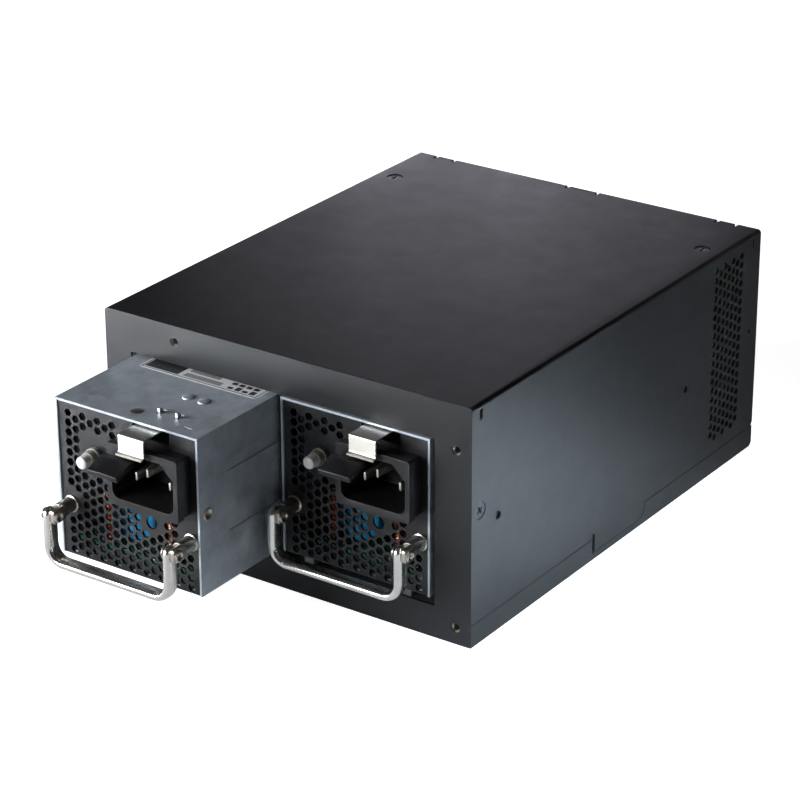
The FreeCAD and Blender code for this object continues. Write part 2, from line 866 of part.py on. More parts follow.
def grille_holes(at):
    """Honeycomb of the front panel, left solid round the inlet, the button, the latch and the posts."""
    lowest = module_floor + grille_floor_margin + grille_hole_across / 2
    discs = [(x, post_z, post_radius + grille_hole_across) for x in post_xs]
    peep_x, peep_z, radius = peep_hole()
    discs.append((peep_x, peep_z, radius + peep_hole_rim))
    holes = []
    top_z = module_top - grille_top_drop
    for x, z in honeycomb(grille_first_x, top_z, grille_columns, grille_rows, grille_pitch):
        in_zone = any(x0 < x < x1 and z0 < z < z1 for x0, x1, z0, z1 in solid_zones())
        in_disc = any(math.hypot(x - a, z - b) < reach for a, b, reach in discs)
        if z > lowest and not in_zone and not in_disc:
            holes.append(hexagon(x, z, grille_hole_across, at))
    return holes


def inlet_box(inset, y):
    """A block of the inlet's outline, drawn in by an inset."""
    x = (inlet_left + inset, inlet_left + inlet_width - inset)
    z = (inlet_bottom + inset, inlet_top - inset)
    return sheet(rectangle(x, z, on_xz(y[0]), inlet_corner_radius), [], V(0, y[1] - y[0], 0))


def make_front_panel():
    """Perforated panel between the sides of the shell, folded back along both of them."""
    at = on_xz(panel_recess)
    x0 = inlet_left + notch_inset
    x1 = x0 + notch_width
    notch_bottom = module_top - notch_depth
    outer = outline([
        (shell_sheet, module_floor), (module_width - shell_sheet, module_floor),
        (module_width - shell_sheet, shell_under), (x1, shell_under), (x1, notch_bottom), (x0, notch_bottom),
        (x0, shell_under), (shell_sheet, shell_under),
    ], at)
    reach = inlet_body_inset - cutout_clearance
    holes = grille_holes(at)
    holes.append(rectangle((inlet_left + reach, inlet_left + inlet_width - reach),
                           (inlet_bottom + reach, inlet_top - reach), at))
    holes.append(round_hole(*peep_hole(), at))
    holes.append(round_hole(button_x, button_z, collar_radius + cutout_clearance, at))
    holes += [round_hole(x, post_z, post_tail_radius + cutout_clearance / 2, at) for x in post_xs]
    plate = sheet(outer, holes, V(0, panel_sheet, 0))
    folds = []
    for x in (shell_sheet, module_width - shell_sheet - panel_sheet):
        at = on_yz(x)
        hole = round_hole(shell_rivet_y, shell_rivet_z, shell_rivet_radius + screw_clearance, at)
        fold = rectangle((panel_back, panel_back + panel_fold_depth),
                         (tray_top + panel_fold_inset, shell_under - panel_fold_inset), at)
        folds.append(sheet(fold, [hole], V(panel_sheet, 0, 0)))
    return join(plate, *folds)


def make_rear_plate():
    """Rear of a module: a round opening for the fan and a slot for the card edge."""
    y = module_length - shell_sheet
    at = on_xz(y)
    centre = module_width / 2
    reach = tongue_width / 2 + socket_slot_clearance
    slot = rectangle((centre - reach, centre + reach),
                     (board_bottom - socket_slot_clearance, board_top + socket_slot_clearance), at)
    holes = [slot, round_hole(fan_centre_x, fan_centre_z, fan_bore_radius, at)]
    outer = rectangle((shell_sheet, module_width - shell_sheet), (module_floor, shell_under), at)
    return sheet(outer, holes, V(0, shell_sheet, 0))


def recess_outline(at):
    """Mouth of the inlet: two cut corners at the top, round corners at the bottom."""
    x0 = inlet_left + inlet_rim_left
    x1 = x0 + recess_width
    z0 = inlet_bottom + inlet_rim_bottom
    z1 = z0 + recess_height
    return outline([
        (x0, z0, recess_radius), (x1, z0, recess_radius), (x1, z1 - recess_chamfer),
        (x1 - recess_chamfer, z1), (x0 + recess_chamfer, z1), (x0, z1 - recess_chamfer),
    ], at)


def blade_places():
    """The (x, z, tip y) of the live, neutral and earth blades."""
    x = inlet_left + inlet_rim_left + recess_width / 2
    z = inlet_bottom + inlet_rim_bottom + recess_height / 2 - blade_drop
    return (
        (x - blade_pitch / 2, z, blade_tip_depth - inlet_proud),
        (x + blade_pitch / 2, z, blade_tip_depth - inlet_proud),
        (x, z + earth_rise, earth_tip_depth - inlet_proud),
    )


def make_inlet():
    """Mains inlet: a flange that stands proud of the panel, a body behind it and the plug recess."""
    flange_back = inlet_flange - inlet_proud
    housing = join(
        inlet_box(0, (-inlet_proud, flange_back)),
        inlet_box(inlet_step, (flange_back, panel_recess)),
        inlet_box(inlet_body_inset, (panel_recess, inlet_body_end)),
    )
    depth = inlet_body_end - inlet_back_wall + inlet_proud
    recess = sheet(recess_outline(on_xz(-inlet_proud)), [], V(0, depth, 0))
    slots = []
    for x, z, _ in blade_places():
        slots.append(block((x - blade_width / 2, x + blade_width / 2),
                           (inlet_body_end - inlet_back_wall, inlet_body_end),
                           (z - blade_height / 2, z + blade_height / 2)))
    return cut(housing, recess, *slots)


def make_inlet_blades():
    """Blades of the inlet, each with its solder tail behind the housing."""
    blades = []
    for x, z, tip in blade_places():
        blades.append(block((x - blade_width / 2, x + blade_width / 2), (tip, inlet_body_end + blade_tail),
                            (z - blade_height / 2, z + blade_height / 2)))
    return blades


def make_bail_posts():
    """Turned posts pressed into the panel, each lapped at its end into an ear for the bail."""
    posts = []
    for x in post_xs:
        foot = V(x, panel_recess, post_z)
        shaft = rod(post_radius, foot, V(0, -1, 0), post_body_end + panel_recess)
        tail = rod(post_tail_radius, foot, Y_AXIS, panel_sheet + post_tail_length)
        ear_x = (x + ear_offset, x + post_radius)
        plate = block(ear_x, (-bail_pivot_reach, -post_body_end + ear_root),
                      (post_z - post_radius, post_z + post_radius))
        eye = rod(post_radius, V(ear_x[0], -bail_pivot_reach, post_z), X_AXIS, ear_x[1] - ear_x[0])
        lap = rod(post_radius, V(x, -bail_pivot_reach - post_radius, post_z), Y_AXIS, bail_pivot_reach)
        ear = join(plate, eye).common(lap)
        bore = rod(bail_rivet_radius, V(x, -bail_pivot_reach, post_z), X_AXIS, 2 * post_radius)
        posts.append(cut(join(shaft, tail, ear), bore))
    return posts


def bail_leg_x(post_x):
    """Left side of the leg that laps the post at post_x."""
    return post_x + ear_offset - bail_side_gap - bail_thickness


def make_bail():
    """Bail handle bent from bar, with an eye at the top of each leg."""
    y0 = -bail_pivot_reach - bail_depth / 2
    x0 = bail_leg_x(post_xs[0])
    x1 = bail_leg_x(post_xs[1]) + bail_thickness
    z0 = post_z - bail_drop
    inner_radius = bail_corner_radius - bail_thickness
    bow = sheet(outline([
        (x0, post_z), (x0, z0, bail_corner_radius), (x1, z0, bail_corner_radius), (x1, post_z),
        (x1 - bail_thickness, post_z), (x1 - bail_thickness, z0 + bail_thickness, inner_radius),
        (x0 + bail_thickness, z0 + bail_thickness, inner_radius), (x0 + bail_thickness, post_z),
    ], on_xz(y0)), [], V(0, bail_depth, 0))
    long_edges = [e for e in bow.Edges if abs(e.BoundBox.YLength) < 1e-6 and e.BoundBox.ZMin < post_z - 1e-6]
    bow = bow.makeChamfer(bail_edge_chamfer, long_edges)
    eyes = []
    for x in (x0, x1 - bail_thickness):
        eyes.append(rod(bail_depth / 2, V(x, -bail_pivot_reach, post_z), X_AXIS, bail_thickness))
    bore = rod(bail_rivet_radius + bail_rivet_clearance, V(x0, -bail_pivot_reach, post_z), X_AXIS, x1 - x0)
    return cut(join(bow, *eyes), bore)


def make_bail_rivets():
    """Rivets that the bail turns on: a round head inside, a rolled ring outside the ear."""
    rivets = []
    for x in post_xs:
        start = V(bail_leg_x(x) - bail_side_gap, -bail_pivot_reach, post_z)
        length = x + post_radius - start.x
        shank = rod(bail_rivet_radius, start, X_AXIS, length)
        head = rod(bail_rivet_head_radius, start, V(-1, 0, 0), bail_rivet_head)
        ring_start = V(x + post_radius, -bail_pivot_reach, post_z)
        ring = rod(bail_rivet_ring_radius, ring_start, X_AXIS, bail_rivet_head)
        rivets.append(join(shank, head, ring))
    return rivets


def make_latch_leaf():
    """Spring leaf: an arm under the shell's top, two teeth, and a nose folded down in front of the panel."""
    x = (leaf_left, leaf_left + leaf_width)
    nose_x = (leaf_left, leaf_left + leaf_nose_width)
    z = (leaf_bottom, leaf_top)
    arm = block(x, (leaf_wide_from, leaf_tail), z)
    neck = block(nose_x, (-leaf_reach, leaf_wide_from), z)
    nose = block(nose_x, (-leaf_reach, leaf_sheet - leaf_reach), (nose_bottom, leaf_top))
    lip_y = (-leaf_reach - lip_length, leaf_sheet - leaf_reach)
    lip = block(nose_x, lip_y, (nose_bottom, nose_bottom + leaf_sheet))
    crest = module_top + tooth_rise
    teeth = []
    for tooth_x in tooth_xs:
        profile = outline([
            (tooth_y, leaf_top), (tooth_y + tooth_length, leaf_top),
            (tooth_y + tooth_crest, crest), (tooth_y, crest),
        ], on_yz(tooth_x - tooth_width / 2))
        teeth.append(sheet(profile, [], V(tooth_width, 0, 0)))
    hole_radius = latch_rivet_radius + latch_rivet_hole_gap
    holes = [rod(hole_radius, V(rivet_x, latch_rivet_y, leaf_bottom), Z_AXIS, leaf_sheet)
             for rivet_x in latch_rivet_xs]
    return cut(join(arm, neck, nose, lip, *teeth), *holes)


def make_latch_tab():
    """Moulded press tab: seated under the lip of the leaf, it curves forward and down."""
    back = -leaf_reach
    root = back - lip_length
    profile = outline([
        (back, nose_bottom), (root, nose_bottom),
        (root - tab_shoulder, nose_bottom - tab_shoulder_drop, tab_top_radius),
        (-tab_reach, tab_tip_top), (-tab_reach, tab_tip_top - tab_sheet, tab_tip_radius),
        (root, nose_bottom - tab_sheet - tab_knee_drop, tab_under_radius),
        (back, nose_bottom - tab_sheet),
    ], on_yz(tab_left))
    return sheet(profile, [], V(tab_width, 0, 0))


def make_latch_rivets():
    """Rivets that hold the leaf under the shell, with low heads on top."""
    rivets = []
    foot_top = leaf_bottom - latch_rivet_foot_gap
    for x in latch_rivet_xs:
        foot = rod(latch_rivet_foot_radius, V(x, latch_rivet_y, foot_top - latch_rivet_head), Z_AXIS,
                   latch_rivet_head)
        shank = rod(latch_rivet_radius, V(x, latch_rivet_y, foot_top), Z_AXIS, module_top - foot_top)
        head = cone(latch_rivet_head_radius, latch_rivet_radius, V(x, latch_rivet_y, module_top), Z_AXIS,
                    latch_rivet_head)
        rivets.append(join(foot, shank, head))
    return rivets


def make_reset_button():
    start = V(button_x, -button_proud, button_z)
    return rod(button_radius, start, Y_AXIS, button_length)


def make_reset_switch():
    """Switch behind the panel, with a collar that guides the button."""
    half = switch_size / 2
    centre = V(button_x, -collar_proud, button_z)
    collar = rod(collar_radius, centre, Y_AXIS, collar_proud + panel_back)
    body = block((button_x - half, button_x + half), (panel_back, panel_back + switch_depth),
                 (button_z - half, button_z + half))
    bore = rod(button_radius + button_bore_gap, centre, Y_AXIS, collar_proud + switch_bore_depth)
    return cut(join(collar, body), bore)


def make_main_board():
    """Power board, with a card edge at the rear that enters the socket."""
    centre = module_width / 2
    body = block((board_inset, module_width - board_inset), (board_front, board_rear),
                 (board_bottom, board_top))
    edge = block((centre - tongue_width / 2, centre + tongue_width / 2),
                 (board_rear, module_length + tongue_reach), (board_bottom, board_top))
    return join(body, edge)


def make_capacitor():
    """Bulk capacitor, lying on the board behind the grille."""
    centre = V(capacitor_x, capacitor_front, board_top + capacitor_radius)
    return rod(capacitor_radius, centre, Y_AXIS, capacitor_length)


def make_chokes():
    """Rod chokes beside the capacitor, wound between two flanges."""
    shapes = []
    right_choke_x = module_width - right_choke_inset
    for x, headroom in ((left_choke_x, left_choke_headroom), (right_choke_x, right_choke_headroom)):
        top = inlet_bottom - headroom
        foot = V(x, choke_y, board_top)
        crown = V(x, choke_y, top - choke_core_height)
        shapes.append(join(
            rod(choke_radius, foot, Z_AXIS, top - board_top),
            rod(choke_core_radius, foot, Z_AXIS, choke_core_height),
            rod(choke_core_radius, crown, Z_AXIS, choke_core_height),
        ))
    return shapes


def make_transformer():
    """Main transformer: a ferrite core of two halves round a wound bobbin."""
    x = heatsink_right + transformer_gap + transformer_core[0] / 2
    middle_y = transformer_start + transformer_core[1] / 2
    stack = []
    level = board_top
    for width, length, height in (transformer_core, transformer_coil, transformer_core):
        stack.append(block((x - width / 2, x + width / 2), (middle_y - length / 2, middle_y + length / 2),
                           (level, level + height)))
        level += height
    return join(*stack)


def make_heatsink():
    """Extruded heatsink along the left of the board."""
    y = (heatsink_start, heatsink_end)
    z0 = board_top
    web = block((heatsink_left, heatsink_left + heatsink_web), y, (z0, z0 + heatsink_height))
    fins = []
    pitch = (heatsink_height - heatsink_fin_sheet) / (heatsink_fins - 1)
    for i in range(heatsink_fins):
        z = z0 + i * pitch
        fins.append(block((heatsink_left + heatsink_web, heatsink_right), y, (z, z + heatsink_fin_sheet)))
    return join(web, *fins)


def make_fan_frame():
    """Square frame with a round bore; four struts at the rear hold the motor's bearing."""
    half = fan_size / 2
    x = fan_centre_x
    z = fan_centre_z
    body = block((x - half, x + half), (fan_front, fan_rear), (z - half, z + half))
    body = body.cut(rod(fan_bore_radius, V(x, fan_front, z), Y_AXIS, fan_depth))
    boss_start = V(x, fan_rear - fan_boss_length, z)
    boss = rod(fan_boss_radius, boss_start, Y_AXIS, fan_boss_length)
    struts = []
    for i in range(fan_struts):
        strut = block((x, x + fan_bore_radius + fan_strut_root), (fan_rear - fan_boss_length, fan_rear),
                      (z - fan_strut_width / 2, z + fan_strut_width / 2))
        strut.rotate(V(x, 0, z), Y_AXIS, fan_strut_turn + i * 360 / fan_struts)
        struts.append(strut)
    bore = rod(fan_shaft_radius + fan_shaft_gap, boss_start, Y_AXIS, fan_boss_length)
    return cut(join(body, boss, *struts), bore)


def make_fan_rotor():
    """Hub with pitched blades on a shaft that runs in the frame's bearing."""
    hub_end = fan_rear - fan_boss_length - fan_hub_gap
    x = fan_centre_x
    z = fan_centre_z
    hub = rod(fan_hub_radius, V(x, hub_end - fan_hub_length, z), Y_AXIS, fan_hub_length)
    shaft = rod(fan_shaft_radius, V(x, hub_end, z), Y_AXIS, fan_rear - hub_end)
    blades = []
    middle = hub_end - fan_hub_length / 2
    for i in range(fan_blades):
        blade = block((x + fan_hub_radius - fan_blade_root, x + fan_blade_radius),
                      (middle - fan_blade_chord / 2, middle + fan_blade_chord / 2),
                      (z - fan_blade_sheet / 2, z + fan_blade_sheet / 2))
        blade.rotate(V(x, middle, z), X_AXIS, fan_blade_pitch)
        blade.rotate(V(x, middle, z), Y_AXIS, i * 360 / fan_blades)
        blades.append(blade)
    return join(hub, shaft, *blades)


def make_shell_rivets():
    """Rivets that join the shell to the panel's folds, and the round-headed one on top."""
    rivets = []
    length = shell_sheet + panel_sheet
    for x, axis in ((0, X_AXIS), (module_width, V(-1, 0, 0))):
        start = V(x, shell_rivet_y, shell_rivet_z)
        head = cone(shell_rivet_head_radius, shell_rivet_radius, start, axis * -1, shell_rivet_head)
        rivets.append(join(rod(shell_rivet_radius, start, axis, length), head))
    top_start = V(*top_rivet, shell_under)
    head_start = V(*top_rivet, module_top)
    head = cone(shell_rivet_head_radius, shell_rivet_radius, head_start, Z_AXIS, shell_rivet_head)
    rivets.append(join(rod(shell_rivet_radius, top_start, Z_AXIS, shell_sheet), head))
    return rivets


CAGE_NODES = {
    "top_cover": make_top_cover,
    "base_tray": make_base_tray,
    "front_frame": make_front_frame,
    "rear_panel": make_rear_panel,
    "cable_grommet": make_cable_grommet,
    "bay_tray": make_bay_tray,
    "bay_roof": make_bay_roof,
    "bay_divider": make_bay_divider,
    "backplane_board": make_backplane_board,
    "module_sockets": make_module_sockets,
    "backplane_bracket": make_backplane_bracket,
    "board_standoffs": make_board_standoffs,
    "converter_board": make_converter_board,
    "converter_parts": make_converter_parts,
    "alarm_buzzer": make_alarm_buzzer,
    "cover_screws": make_cover_screws,
}

MODULE_NODES = {
    "shell": make_shell,
    "tray": make_tray,
    "front_panel": make_front_panel,
    "rear_plate": make_rear_plate,
    "inlet": make_inlet,
    "inlet_blades": make_inlet_blades,
    "bail_posts": make_bail_posts,
    "bail": make_bail,
    "bail_rivets": make_bail_rivets,
    "latch_leaf": make_latch_leaf,
    "latch_tab": make_latch_tab,
    "latch_rivets": make_latch_rivets,
    "reset_button": make_reset_button,
    "reset_switch": make_reset_switch,
    "main_board": make_main_board,
    "capacitor": make_capacitor,
    "chokes": make_chokes,
    "transformer": make_transformer,
    "heatsink": make_heatsink,
    "fan_frame": make_fan_frame,
    "fan_rotor": make_fan_rotor,
    "shell_rivets": make_shell_rivets,
}


def save(name, made):
    shape = Part.makeCompound(made) if isinstance(made, list) else made
    for solid in shape.Solids:
        if not solid.isValid():
            raise ValueError(name + " is not a valid solid")
    shape.exportStep("parts/" + name + ".step")


os.makedirs("parts", exist_ok=True)
for node, make in CAGE_NODES.items():
    save(node, make())
for side in ("left", "right"):
    for node, make in MODULE_NODES.items():
        made = make()
        place = V(module_x[side], module_y[side], 0)
        shapes = made if isinstance(made, list) else [made]
        save(side + "_" + node, [shape.translated(place) for shape in shapes])
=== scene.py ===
"""Looks of a hot-swap server power supply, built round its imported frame.

Every CAD node is either dressed, which merges a copy of its mesh, breaks its edges and gives it a finish, or
is replaced by a finer piece modelled here. The labels and the chassis bushings stand for no node. Pieces are
modelled in millimetres and handed over in metres. A place in a module is (x from its left side, y from the
front edge of its shell, z from the bottom of the cage).
"""

import json
import math

import bmesh
import bpy
from mathutils import Matrix, Vector

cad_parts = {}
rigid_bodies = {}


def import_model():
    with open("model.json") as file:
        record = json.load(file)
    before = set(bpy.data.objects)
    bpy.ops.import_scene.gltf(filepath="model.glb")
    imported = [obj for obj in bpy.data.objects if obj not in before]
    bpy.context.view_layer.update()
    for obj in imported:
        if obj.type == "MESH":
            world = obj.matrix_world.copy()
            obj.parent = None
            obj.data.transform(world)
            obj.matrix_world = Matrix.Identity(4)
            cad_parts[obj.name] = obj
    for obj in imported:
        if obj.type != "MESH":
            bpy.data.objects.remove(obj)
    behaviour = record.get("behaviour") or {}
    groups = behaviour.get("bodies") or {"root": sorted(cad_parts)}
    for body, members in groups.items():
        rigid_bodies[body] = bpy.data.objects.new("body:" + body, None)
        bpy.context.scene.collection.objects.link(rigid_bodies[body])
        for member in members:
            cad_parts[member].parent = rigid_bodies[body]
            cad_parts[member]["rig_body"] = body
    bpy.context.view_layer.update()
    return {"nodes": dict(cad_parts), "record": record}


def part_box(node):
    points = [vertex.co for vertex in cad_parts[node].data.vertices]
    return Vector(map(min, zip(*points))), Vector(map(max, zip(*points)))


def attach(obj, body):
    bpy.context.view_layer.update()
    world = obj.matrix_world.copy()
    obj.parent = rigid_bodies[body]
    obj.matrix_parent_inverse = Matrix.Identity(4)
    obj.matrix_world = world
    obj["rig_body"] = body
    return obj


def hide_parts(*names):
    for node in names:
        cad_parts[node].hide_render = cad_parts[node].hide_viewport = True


bl_info = {
    "name": "Hot-swap power supply",
    "version": (1, 0, 0),
    "blender": (4, 5, 0),
    "location": "View3D > Sidebar > Power supply",
    "description": "Finishes and fine pieces of a hot-swap server power supply",
    "category": "Object",
}

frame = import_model()
NODES = frame["nodes"]
SLOTS = {part["node"]: part["material_slot"] for part in frame["record"]["subparts"]}
SIDES = ("left", "right")
MM = 0.001
FORWARD = Matrix.Rotation(math.radians(90), 4, "X")
RIGHTWARD = Matrix.Rotation(math.radians(90), 4, "Y")
LEFTWARD = Matrix.Rotation(math.radians(-90), 4, "Y")
BACKWARD = Matrix.Rotation(math.radians(-90), 4, "X")
YZ_PLANE = Matrix(((0, 0, 1, 0), (1, 0, 0, 0), (0, 1, 0, 0), (0, 0, 0, 1)))
SHARP_ANGLE = math.radians(35)

# Places in a module.
SHELL_WIDTH = 59.6
SHELL_MIDDLE = 29.8
MODULE_TOP = 71.3
BOARD_BOTTOM = 19.2
BOARD_TOP = 20.8


class PowerSupplySizes(bpy.types.PropertyGroup):
    """Sizes of the fine pieces, in millimetres."""

    edge_break: bpy.props.FloatProperty(
        name="Edge break", description="Rounding of the edges of sheet metal", default=0.16,
        min=0.02, max=0.6)
    moulded_edge: bpy.props.FloatProperty(
        name="Moulded edge", description="Rounding of the edges of moulded pieces", default=0.35,
        min=0.05, max=1.0)
    wire_turns: bpy.props.IntProperty(
        name="Choke turns", description="Turns of wire on each rod choke", default=13, min=4, max=30)
    fan_blades: bpy.props.IntProperty(
        name="Fan blades", description="Blades of each module's fan", default=7, min=3, max=13)
    label_length: bpy.props.FloatProperty(
        name="Label length", description="Length of the label on a module's top", default=54.0,
        min=10.0, max=100.0)


class PowerSupplyColours(bpy.types.PropertyGroup):
    """Colours of the finishes."""

    coat: bpy.props.FloatVectorProperty(
        name="Cage coat", description="Powder coat of the cage", subtype="COLOR",
        default=(0.0062, 0.0062, 0.0068))
    panel: bpy.props.FloatVectorProperty(
        name="Module panel", description="Paint of the module's front", subtype="COLOR",
        default=(0.036, 0.0355, 0.036))
    zinc: bpy.props.FloatVectorProperty(
        name="Zinc", description="Galvanised steel of a module", subtype="COLOR", default=(0.585, 0.645, 0.70))
    chrome: bpy.props.FloatVectorProperty(
        name="Chrome", description="Plate of the bail handle", subtype="COLOR", default=(0.94, 0.91, 0.85))
    nickel: bpy.props.FloatVectorProperty(
        name="Nickel", description="Plate of posts, rivets and latch", subtype="COLOR",
        default=(0.74, 0.71, 0.64))
    sleeve: bpy.props.FloatVectorProperty(
        name="Capacitor sleeve", description="Shrink sleeve of the bulk capacitor", subtype="COLOR",
        default=(0.02, 0.40, 0.85))
    wire: bpy.props.FloatVectorProperty(
        name="Choke wire", description="Enamelled wire of the rod chokes", subtype="COLOR",
        default=(0.56, 0.12, 0.035))
    mask: bpy.props.FloatVectorProperty(
        name="Solder mask", description="Green of the circuit boards", subtype="COLOR",
        default=(0.006, 0.085, 0.042))


def sizes():
    return bpy.context.scene.power_supply_sizes


def colours():
    return bpy.context.scene.power_supply_colours


# ---------------------------------------------------------------- finishes

class Nodes:
    """The node tree of a material or a world."""

    def __init__(self, owner):
        owner.use_nodes = True
        self.tree = owner.node_tree
        self.tree.nodes.clear()

    def add(self, kind, **settings):
        """Adds a node. A setting with a capital is an input, and one without is a property of the node."""
        node = self.tree.nodes.new(kind)
        for key, value in settings.items():
            if key[0].isupper():
                self.feed(node.inputs[key.replace("_", " ")], value)
            else:
                setattr(node, key, value)
        return node

    def feed(self, socket, value):
        if isinstance(value, bpy.types.NodeSocket):
            self.tree.links.new(value, socket)
        elif hasattr(value, "__len__") and len(value) == 3 and socket.type == "RGBA":
            socket.default_value = (*value, 1.0)
        else:
            socket.default_value = value

    def between(self, value, low, high, new_low=0.0, new_high=1.0):
        return self.add("ShaderNodeMapRange", Value=value, From_Min=low, From_Max=high, To_Min=new_low,
                        To_Max=new_high).outputs[0]

    def sum(self, first, second, operation="ADD"):
        node = self.add("ShaderNodeMath", operation=operation)
        self.feed(node.inputs[0], first)
        self.feed(node.inputs[1], second)
        return node.outputs[0]

    def times(self, first, second):
        return self.sum(first, second, "MULTIPLY")

    def larger(self, first, second):
        return self.sum(first, second, "MAXIMUM")


class Finish(Nodes):
    """One material: a principled surface that its patterns are wired into."""

    def __init__(self, name, metallic=0.0, roughness=0.5, **settings):
        self.material = bpy.data.materials.new(name + "_finish")
        super().__init__(self.material)
        self.surface = self.add("ShaderNodeBsdfPrincipled", Metallic=metallic, Roughness=roughness, **settings)
        self.add("ShaderNodeOutputMaterial", Surface=self.surface.outputs[0])
        self.place = self.add("ShaderNodeTexCoord").outputs["Object"]

    def stretched(self, scale):
        """Object coordinates drawn out along an axis, for grain and rolling marks."""
        return self.add("ShaderNodeMapping", Vector=self.place, Scale=scale).outputs[0]

    def noise(self, size, detail=3.0, place=None, roughness=0.55):
        """Noise whose features are about one size, in millimetres."""
        return self.add("ShaderNodeTexNoise", Vector=place or self.place, Scale=1 / (size * MM), Detail=detail,
                        Roughness=roughness).outputs[0]

    def cells(self, size, feature="F1", output="Distance"):
        return self.add("ShaderNodeTexVoronoi", feature=feature, Vector=self.place,
                        Scale=1 / (size * MM)).outputs[output]

    def mixed(self, share, first, second):
        node = self.add("ShaderNodeMix", data_type="RGBA")
        self.feed(node.inputs["Factor"], share)
        self.feed(node.inputs[6], first)
        self.feed(node.inputs[7], second)
        return node.outputs[2]

    def mottle(self, first, second, size, detail=3.0, low=0.3, high=0.7):
        """A colour that drifts between two, in patches of about one size."""
        return self.mixed(self.between(self.noise(size, detail), low, high), first, second)

    def edge(self, radius):
        """A share that rises where the surface turns round an edge."""
        rounded = self.add("ShaderNodeBevel", samples=4, Radius=radius * MM).outputs[0]
        flat = self.add("ShaderNodeNewGeometry").outputs["True Normal"]
        node = self.add("ShaderNodeVectorMath", operation="DOT_PRODUCT")
        self.feed(node.inputs[0], rounded)
        self.feed(node.inputs[1], flat)
        return self.between(node.outputs["Value"], 0.99, 0.86)

    def colour(self, value):
        self.feed(self.surface.inputs["Base Color"], value)

    def rough(self, value):
        self.feed(self.surface.inputs["Roughness"], value)

    def uneven(self, low, high, size, detail=3.0):
        """Roughness that drifts between two values, in patches of about one size."""
        self.rough(self.between(self.noise(size, detail), 0.3, 0.7, low, high))

    def relief(self, height, strength, depth):
        """Bump from a height, whose full swing is a depth in millimetres."""
        bump = self.add("ShaderNodeBump", Height=height, Strength=strength, Distance=depth * MM)
        self.feed(self.surface.inputs["Normal"], bump.outputs[0])


def shade(colour, factor):
    return tuple(min(1.0, c * factor) for c in colour)


def powder_coat():
    """Fine satin powder coat, paler grey along its edges from wear and a painted highlight."""
    paint = tuple(colours().coat)
    finish = Finish("black_coat", roughness=0.45, Specular_IOR_Level=0.36)
    body = finish.mottle(shade(paint, 0.86), shade(paint, 1.18), 38, 4, 0.35, 0.65)
    grain = finish.noise(0.55, 2, roughness=0.6)
    speck = finish.between(grain, 0.62, 0.8, 0.0, 0.35)
    body = finish.mixed(speck, body, shade(paint, 2.2))
    # Edges go paler grey: partly wear, partly a painted highlight that stands for light caught on the edges.
    worn_and_highlit = finish.times(finish.edge(0.22), finish.between(finish.noise(3.0, 4), 0.3, 0.7, 0.25, 0.75))
    finish.colour(finish.mixed(worn_and_highlit, body, (0.035, 0.036, 0.040)))
    finish.uneven(0.42, 0.48, 9, 5)
    finish.relief(grain, 0.15, 0.05)
    return finish.material


def panel_paint():
    """Thin grey paint of the module's front, paler at the edges of its holes as a painted highlight."""
    paint = tuple(colours().panel)
    finish = Finish("grey_paint", roughness=0.38, metallic=0.85)
    body = finish.mottle(shade(paint, 0.82), shade(paint, 1.15), 16, 5)
    # Hole edges go paler grey: a painted highlight of light caught on the cut edges.
    rim_highlight = finish.times(finish.edge(0.16), 0.75)
    finish.colour(finish.mixed(rim_highlight, body, (0.26, 0.26, 0.27)))
    finish.uneven(0.38, 0.55, 2.5, 4)
    finish.relief(finish.noise(0.5, 3), 0.2, 0.04)
    return finish.material


def galvanised(name="zinc", share=1.0):
    """Rolled zinc-coated sheet: faint spangle, rolling marks, and edges darkened as painted shade that dims
    their reflection.
    """
    # A share below one darkens the whole sheet, and its edges too: painted shade.
    zinc = shade(tuple(colours().zinc), share)
    finish = Finish(name, metallic=0.6, roughness=0.5)
    spangle = finish.cells(4.5, output="Color")
    facets = finish.between(finish.add("ShaderNodeSeparateColor", Color=spangle).outputs[0], 0.0, 1.0)
    cloud = finish.between(finish.noise(11, 6, roughness=0.65), 0.32, 0.68)
    body = finish.mixed(cloud, shade(zinc, 0.74), shade(zinc, 1.12))
    tone = finish.mixed(finish.times(facets, 0.32), body, shade(zinc, 1.3))
    rolled = finish.noise(0.5, 4, finish.stretched((1.0, 0.04, 1.0)))
    tone = finish.mixed(finish.between(rolled, 0.45, 0.75, 0.0, 0.25), tone, shade(zinc, 0.6))
    # Edges go darker grey: painted shade that dims the reflection on the cut edges.
    finish.colour(finish.mixed(finish.times(finish.edge(0.12), 0.6), tone, shade((0.36, 0.36, 0.36), share)))
    finish.rough(finish.sum(finish.between(facets, 0.0, 1.0, -0.05, 0.06),
                            finish.between(cloud, 0.0, 1.0, 0.50, 0.36)))
    finish.relief(finish.sum(finish.noise(6, 3), finish.times(rolled, 0.12)), 0.25, 0.12)
    return finish.material


def plated(name, metal, smooth):
    """Bright plate with a soft unevenness, finger haze and brown spots."""
    finish = Finish(name, metallic=1.0, roughness=smooth)
    haze = finish.between(finish.noise(7, 5), 0.4, 0.72)
    body = finish.mixed(haze, metal, shade(metal, 0.86))
    spots = finish.between(finish.noise(1.6, 4), 0.66, 0.78, 0.0, 0.35)
    finish.colour(finish.mixed(spots, body, (0.30, 0.24, 0.16)))
    finish.rough(finish.between(haze, 0.0, 1.0, smooth, smooth + 0.09))
    finish.relief(finish.noise(3.2, 3), 0.12, 0.06)
    return finish.material


def extruded_aluminium():
    finish = Finish("aluminium", metallic=1.0, roughness=0.35)
    drawn = finish.noise(0.7, 4, finish.stretched((1.0, 0.02, 1.0)))
    finish.colour(finish.mixed(finish.between(drawn, 0.3, 0.7), (0.5, 0.51, 0.53), (0.72, 0.73, 0.75)))
    finish.rough(finish.between(drawn, 0.3, 0.7, 0.28, 0.45))
    finish.relief(drawn, 0.2, 0.05)
    return finish.material


